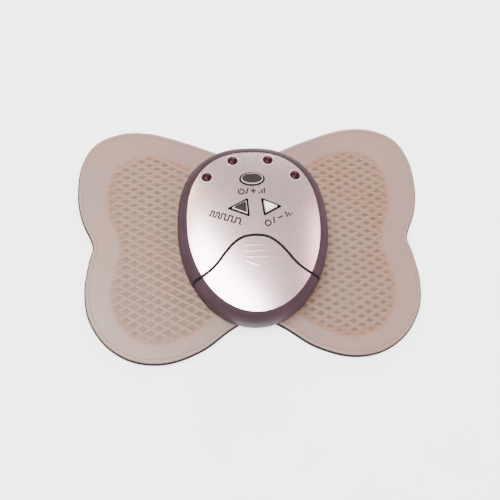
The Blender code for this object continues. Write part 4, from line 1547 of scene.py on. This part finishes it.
# ---------------------------------------------------------------- stage
class STIM_OT_stage(StimulatorOperator, bpy.types.Operator):
    """Sets the floor, the soft lights and the camera."""
    bl_idname = "stimulator.stage"
    bl_label = "Stage"

    def execute(self, context):
        self.floor()
        self.light("strip_softbox", (-0.14, 0.01, 0.7), (0.60, 0.20), 10.0, "#fffafa", -43)
        self.light("warm_softbox", (-0.42, 0.50, 0.60), (0.2, 0.2), 1.6, "#ffdc9c")
        self.light("rose_softbox", (0.55, 0.12, 0.55), (0.35, 0.35), 2.6, "#ffd0dc")
        self.light("rear_softbox", (0.14, 0.62, 0.16), (0.3, 0.2), 4.6, "#fffaf4")
        world = bpy.data.worlds.new("studio")
        world.use_nodes = True
        tree = world.node_tree
        tree.nodes["Background"].inputs["Color"].default_value = (1.0, 0.985, 0.975, 1)
        tree.nodes["Background"].inputs["Strength"].default_value = 0.25
        bpy.context.scene.world = world
        self.camera()
        return {"FINISHED"}

    def floor(self):
        """Round sheet of paper, flat in the middle, that sweeps up past the horizon."""
        flat, sweep, count = 1.2, 1.5, 96
        steps, steepest = 12, 80
        profile = [(flat, 0.0)]
        for i in range(1, steps + 1):
            turn = math.radians(steepest * i / steps)
            profile.append((flat + sweep * math.sin(turn), sweep * (1 - math.cos(turn))))
        bm = bmesh.new()
        rows = [[bm.verts.new((x, y, z)) for x, y in ellipse((0, 0), r, r, count)]
                for r, z in profile]
        bm.faces.new(rows[0])
        for inner, outer in zip(rows, rows[1:]):
            for i in range(count):
                j = (i + 1) % count
                bm.faces.new((inner[i], outer[i], outer[j], inner[j]))
        # white studio paper on a light table, so that it stays pale under soft light
        paper = plain("paper_white", "#f4f4f4", "#fafafa", 30, (0.8, 0.9),
                      Emission_Color=(1, 1, 1, 1), Emission_Strength=1.9)
        floor = from_bmesh("floor", bm, paper)
        floor.data.transform(Matrix.Translation((0, 0, -0.0001)))

    def light(self, name, place, size, power, tint, spin=0.0):
        """Soft light that faces the object; spin, in degrees, turns its long side from +X."""
        lamp = bpy.data.lights.new(name, "AREA")
        lamp.color = paint(tint)[:3]
        lamp.shape = "RECTANGLE"
        lamp.size, lamp.size_y = size
        lamp.energy = power
        obj = bpy.data.objects.new(name, lamp)
        bpy.context.scene.collection.objects.link(obj)
        back = Vector(place).normalized()
        long_side = Matrix.Rotation(math.radians(spin), 3, "Z") @ Vector((1, 0, 0))
        short_side = back.cross(long_side).normalized()
        turn = Matrix((short_side.cross(back), short_side, back)).transposed().to_4x4()
        obj.matrix_world = Matrix.Translation(place) @ turn

    def camera(self):
        """Looks down at the pad from the front, turned and rolled a little."""
        azimuth, elevation, roll = math.radians(12.8), math.radians(69.3), math.radians(-10.2)
        distance, lens = 0.36558, 52.2
        aim = Vector((-1.36, -5.18, 0)) * MM
        ahead = Vector((math.sin(azimuth) * math.cos(elevation),
                        math.cos(azimuth) * math.cos(elevation), -math.sin(elevation)))
        right = Vector((math.cos(azimuth), -math.sin(azimuth), 0))
        up = right.cross(ahead)
        turned_right = right * math.cos(roll) - up * math.sin(roll)
        turned_up = right * math.sin(roll) + up * math.cos(roll)
        data = bpy.data.cameras.new("camera")
        data.lens = lens
        data.sensor_width = 36.0
        data.clip_start, data.clip_end = 0.01, 10
        camera = bpy.data.objects.new("camera", data)
        bpy.context.scene.collection.objects.link(camera)
        place = aim - ahead * distance
        turn = Matrix((turned_right, turned_up, -ahead)).transposed().to_4x4()
        camera.matrix_world = Matrix.Translation(place) @ turn
        bpy.context.scene.camera = camera


class STIM_PT_panel(bpy.types.Panel):
    """Lists the pieces that can be built."""
    bl_idname = "STIM_PT_panel"
    bl_label = "Muscle Stimulator"
    bl_space_type = "VIEW_3D"
    bl_region_type = "UI"
    bl_category = "Stimulator"

    def draw(self, context):
        layout = self.layout
        for group in (context.scene.stimulator_pad, context.scene.stimulator_case,
                      context.scene.stimulator_colours):
            column = layout.column(align=True)
            for name in group.__annotations__:
                column.prop(group, name)
        for operator in OPERATORS:
            layout.operator(operator.bl_idname)


OPERATORS = (STIM_OT_sheet, STIM_OT_net, STIM_OT_gel, STIM_OT_snaps, STIM_OT_lower_case,
             STIM_OT_cover, STIM_OT_door, STIM_OT_keys, STIM_OT_signs, STIM_OT_lamps,
             STIM_OT_battery, STIM_OT_screws, STIM_OT_electronics, STIM_OT_stage)
CLASSES = (PadSizes, CaseSizes, FinishColours, *OPERATORS, STIM_PT_panel)


def register():
    for cls in CLASSES:
        bpy.utils.register_class(cls)
    bpy.types.Scene.stimulator_pad = PointerProperty(type=PadSizes)
    bpy.types.Scene.stimulator_case = PointerProperty(type=CaseSizes)
    bpy.types.Scene.stimulator_colours = PointerProperty(type=FinishColours)


def unregister():
    del bpy.types.Scene.stimulator_colours
    del bpy.types.Scene.stimulator_case
    del bpy.types.Scene.stimulator_pad
    for cls in reversed(CLASSES):
        bpy.utils.unregister_class(cls)


def main():
    register()
    for operator in OPERATORS:
        group, name = operator.bl_idname.split(".")
        getattr(getattr(bpy.ops, group), name)()


if __name__ == "__main__":
    main()
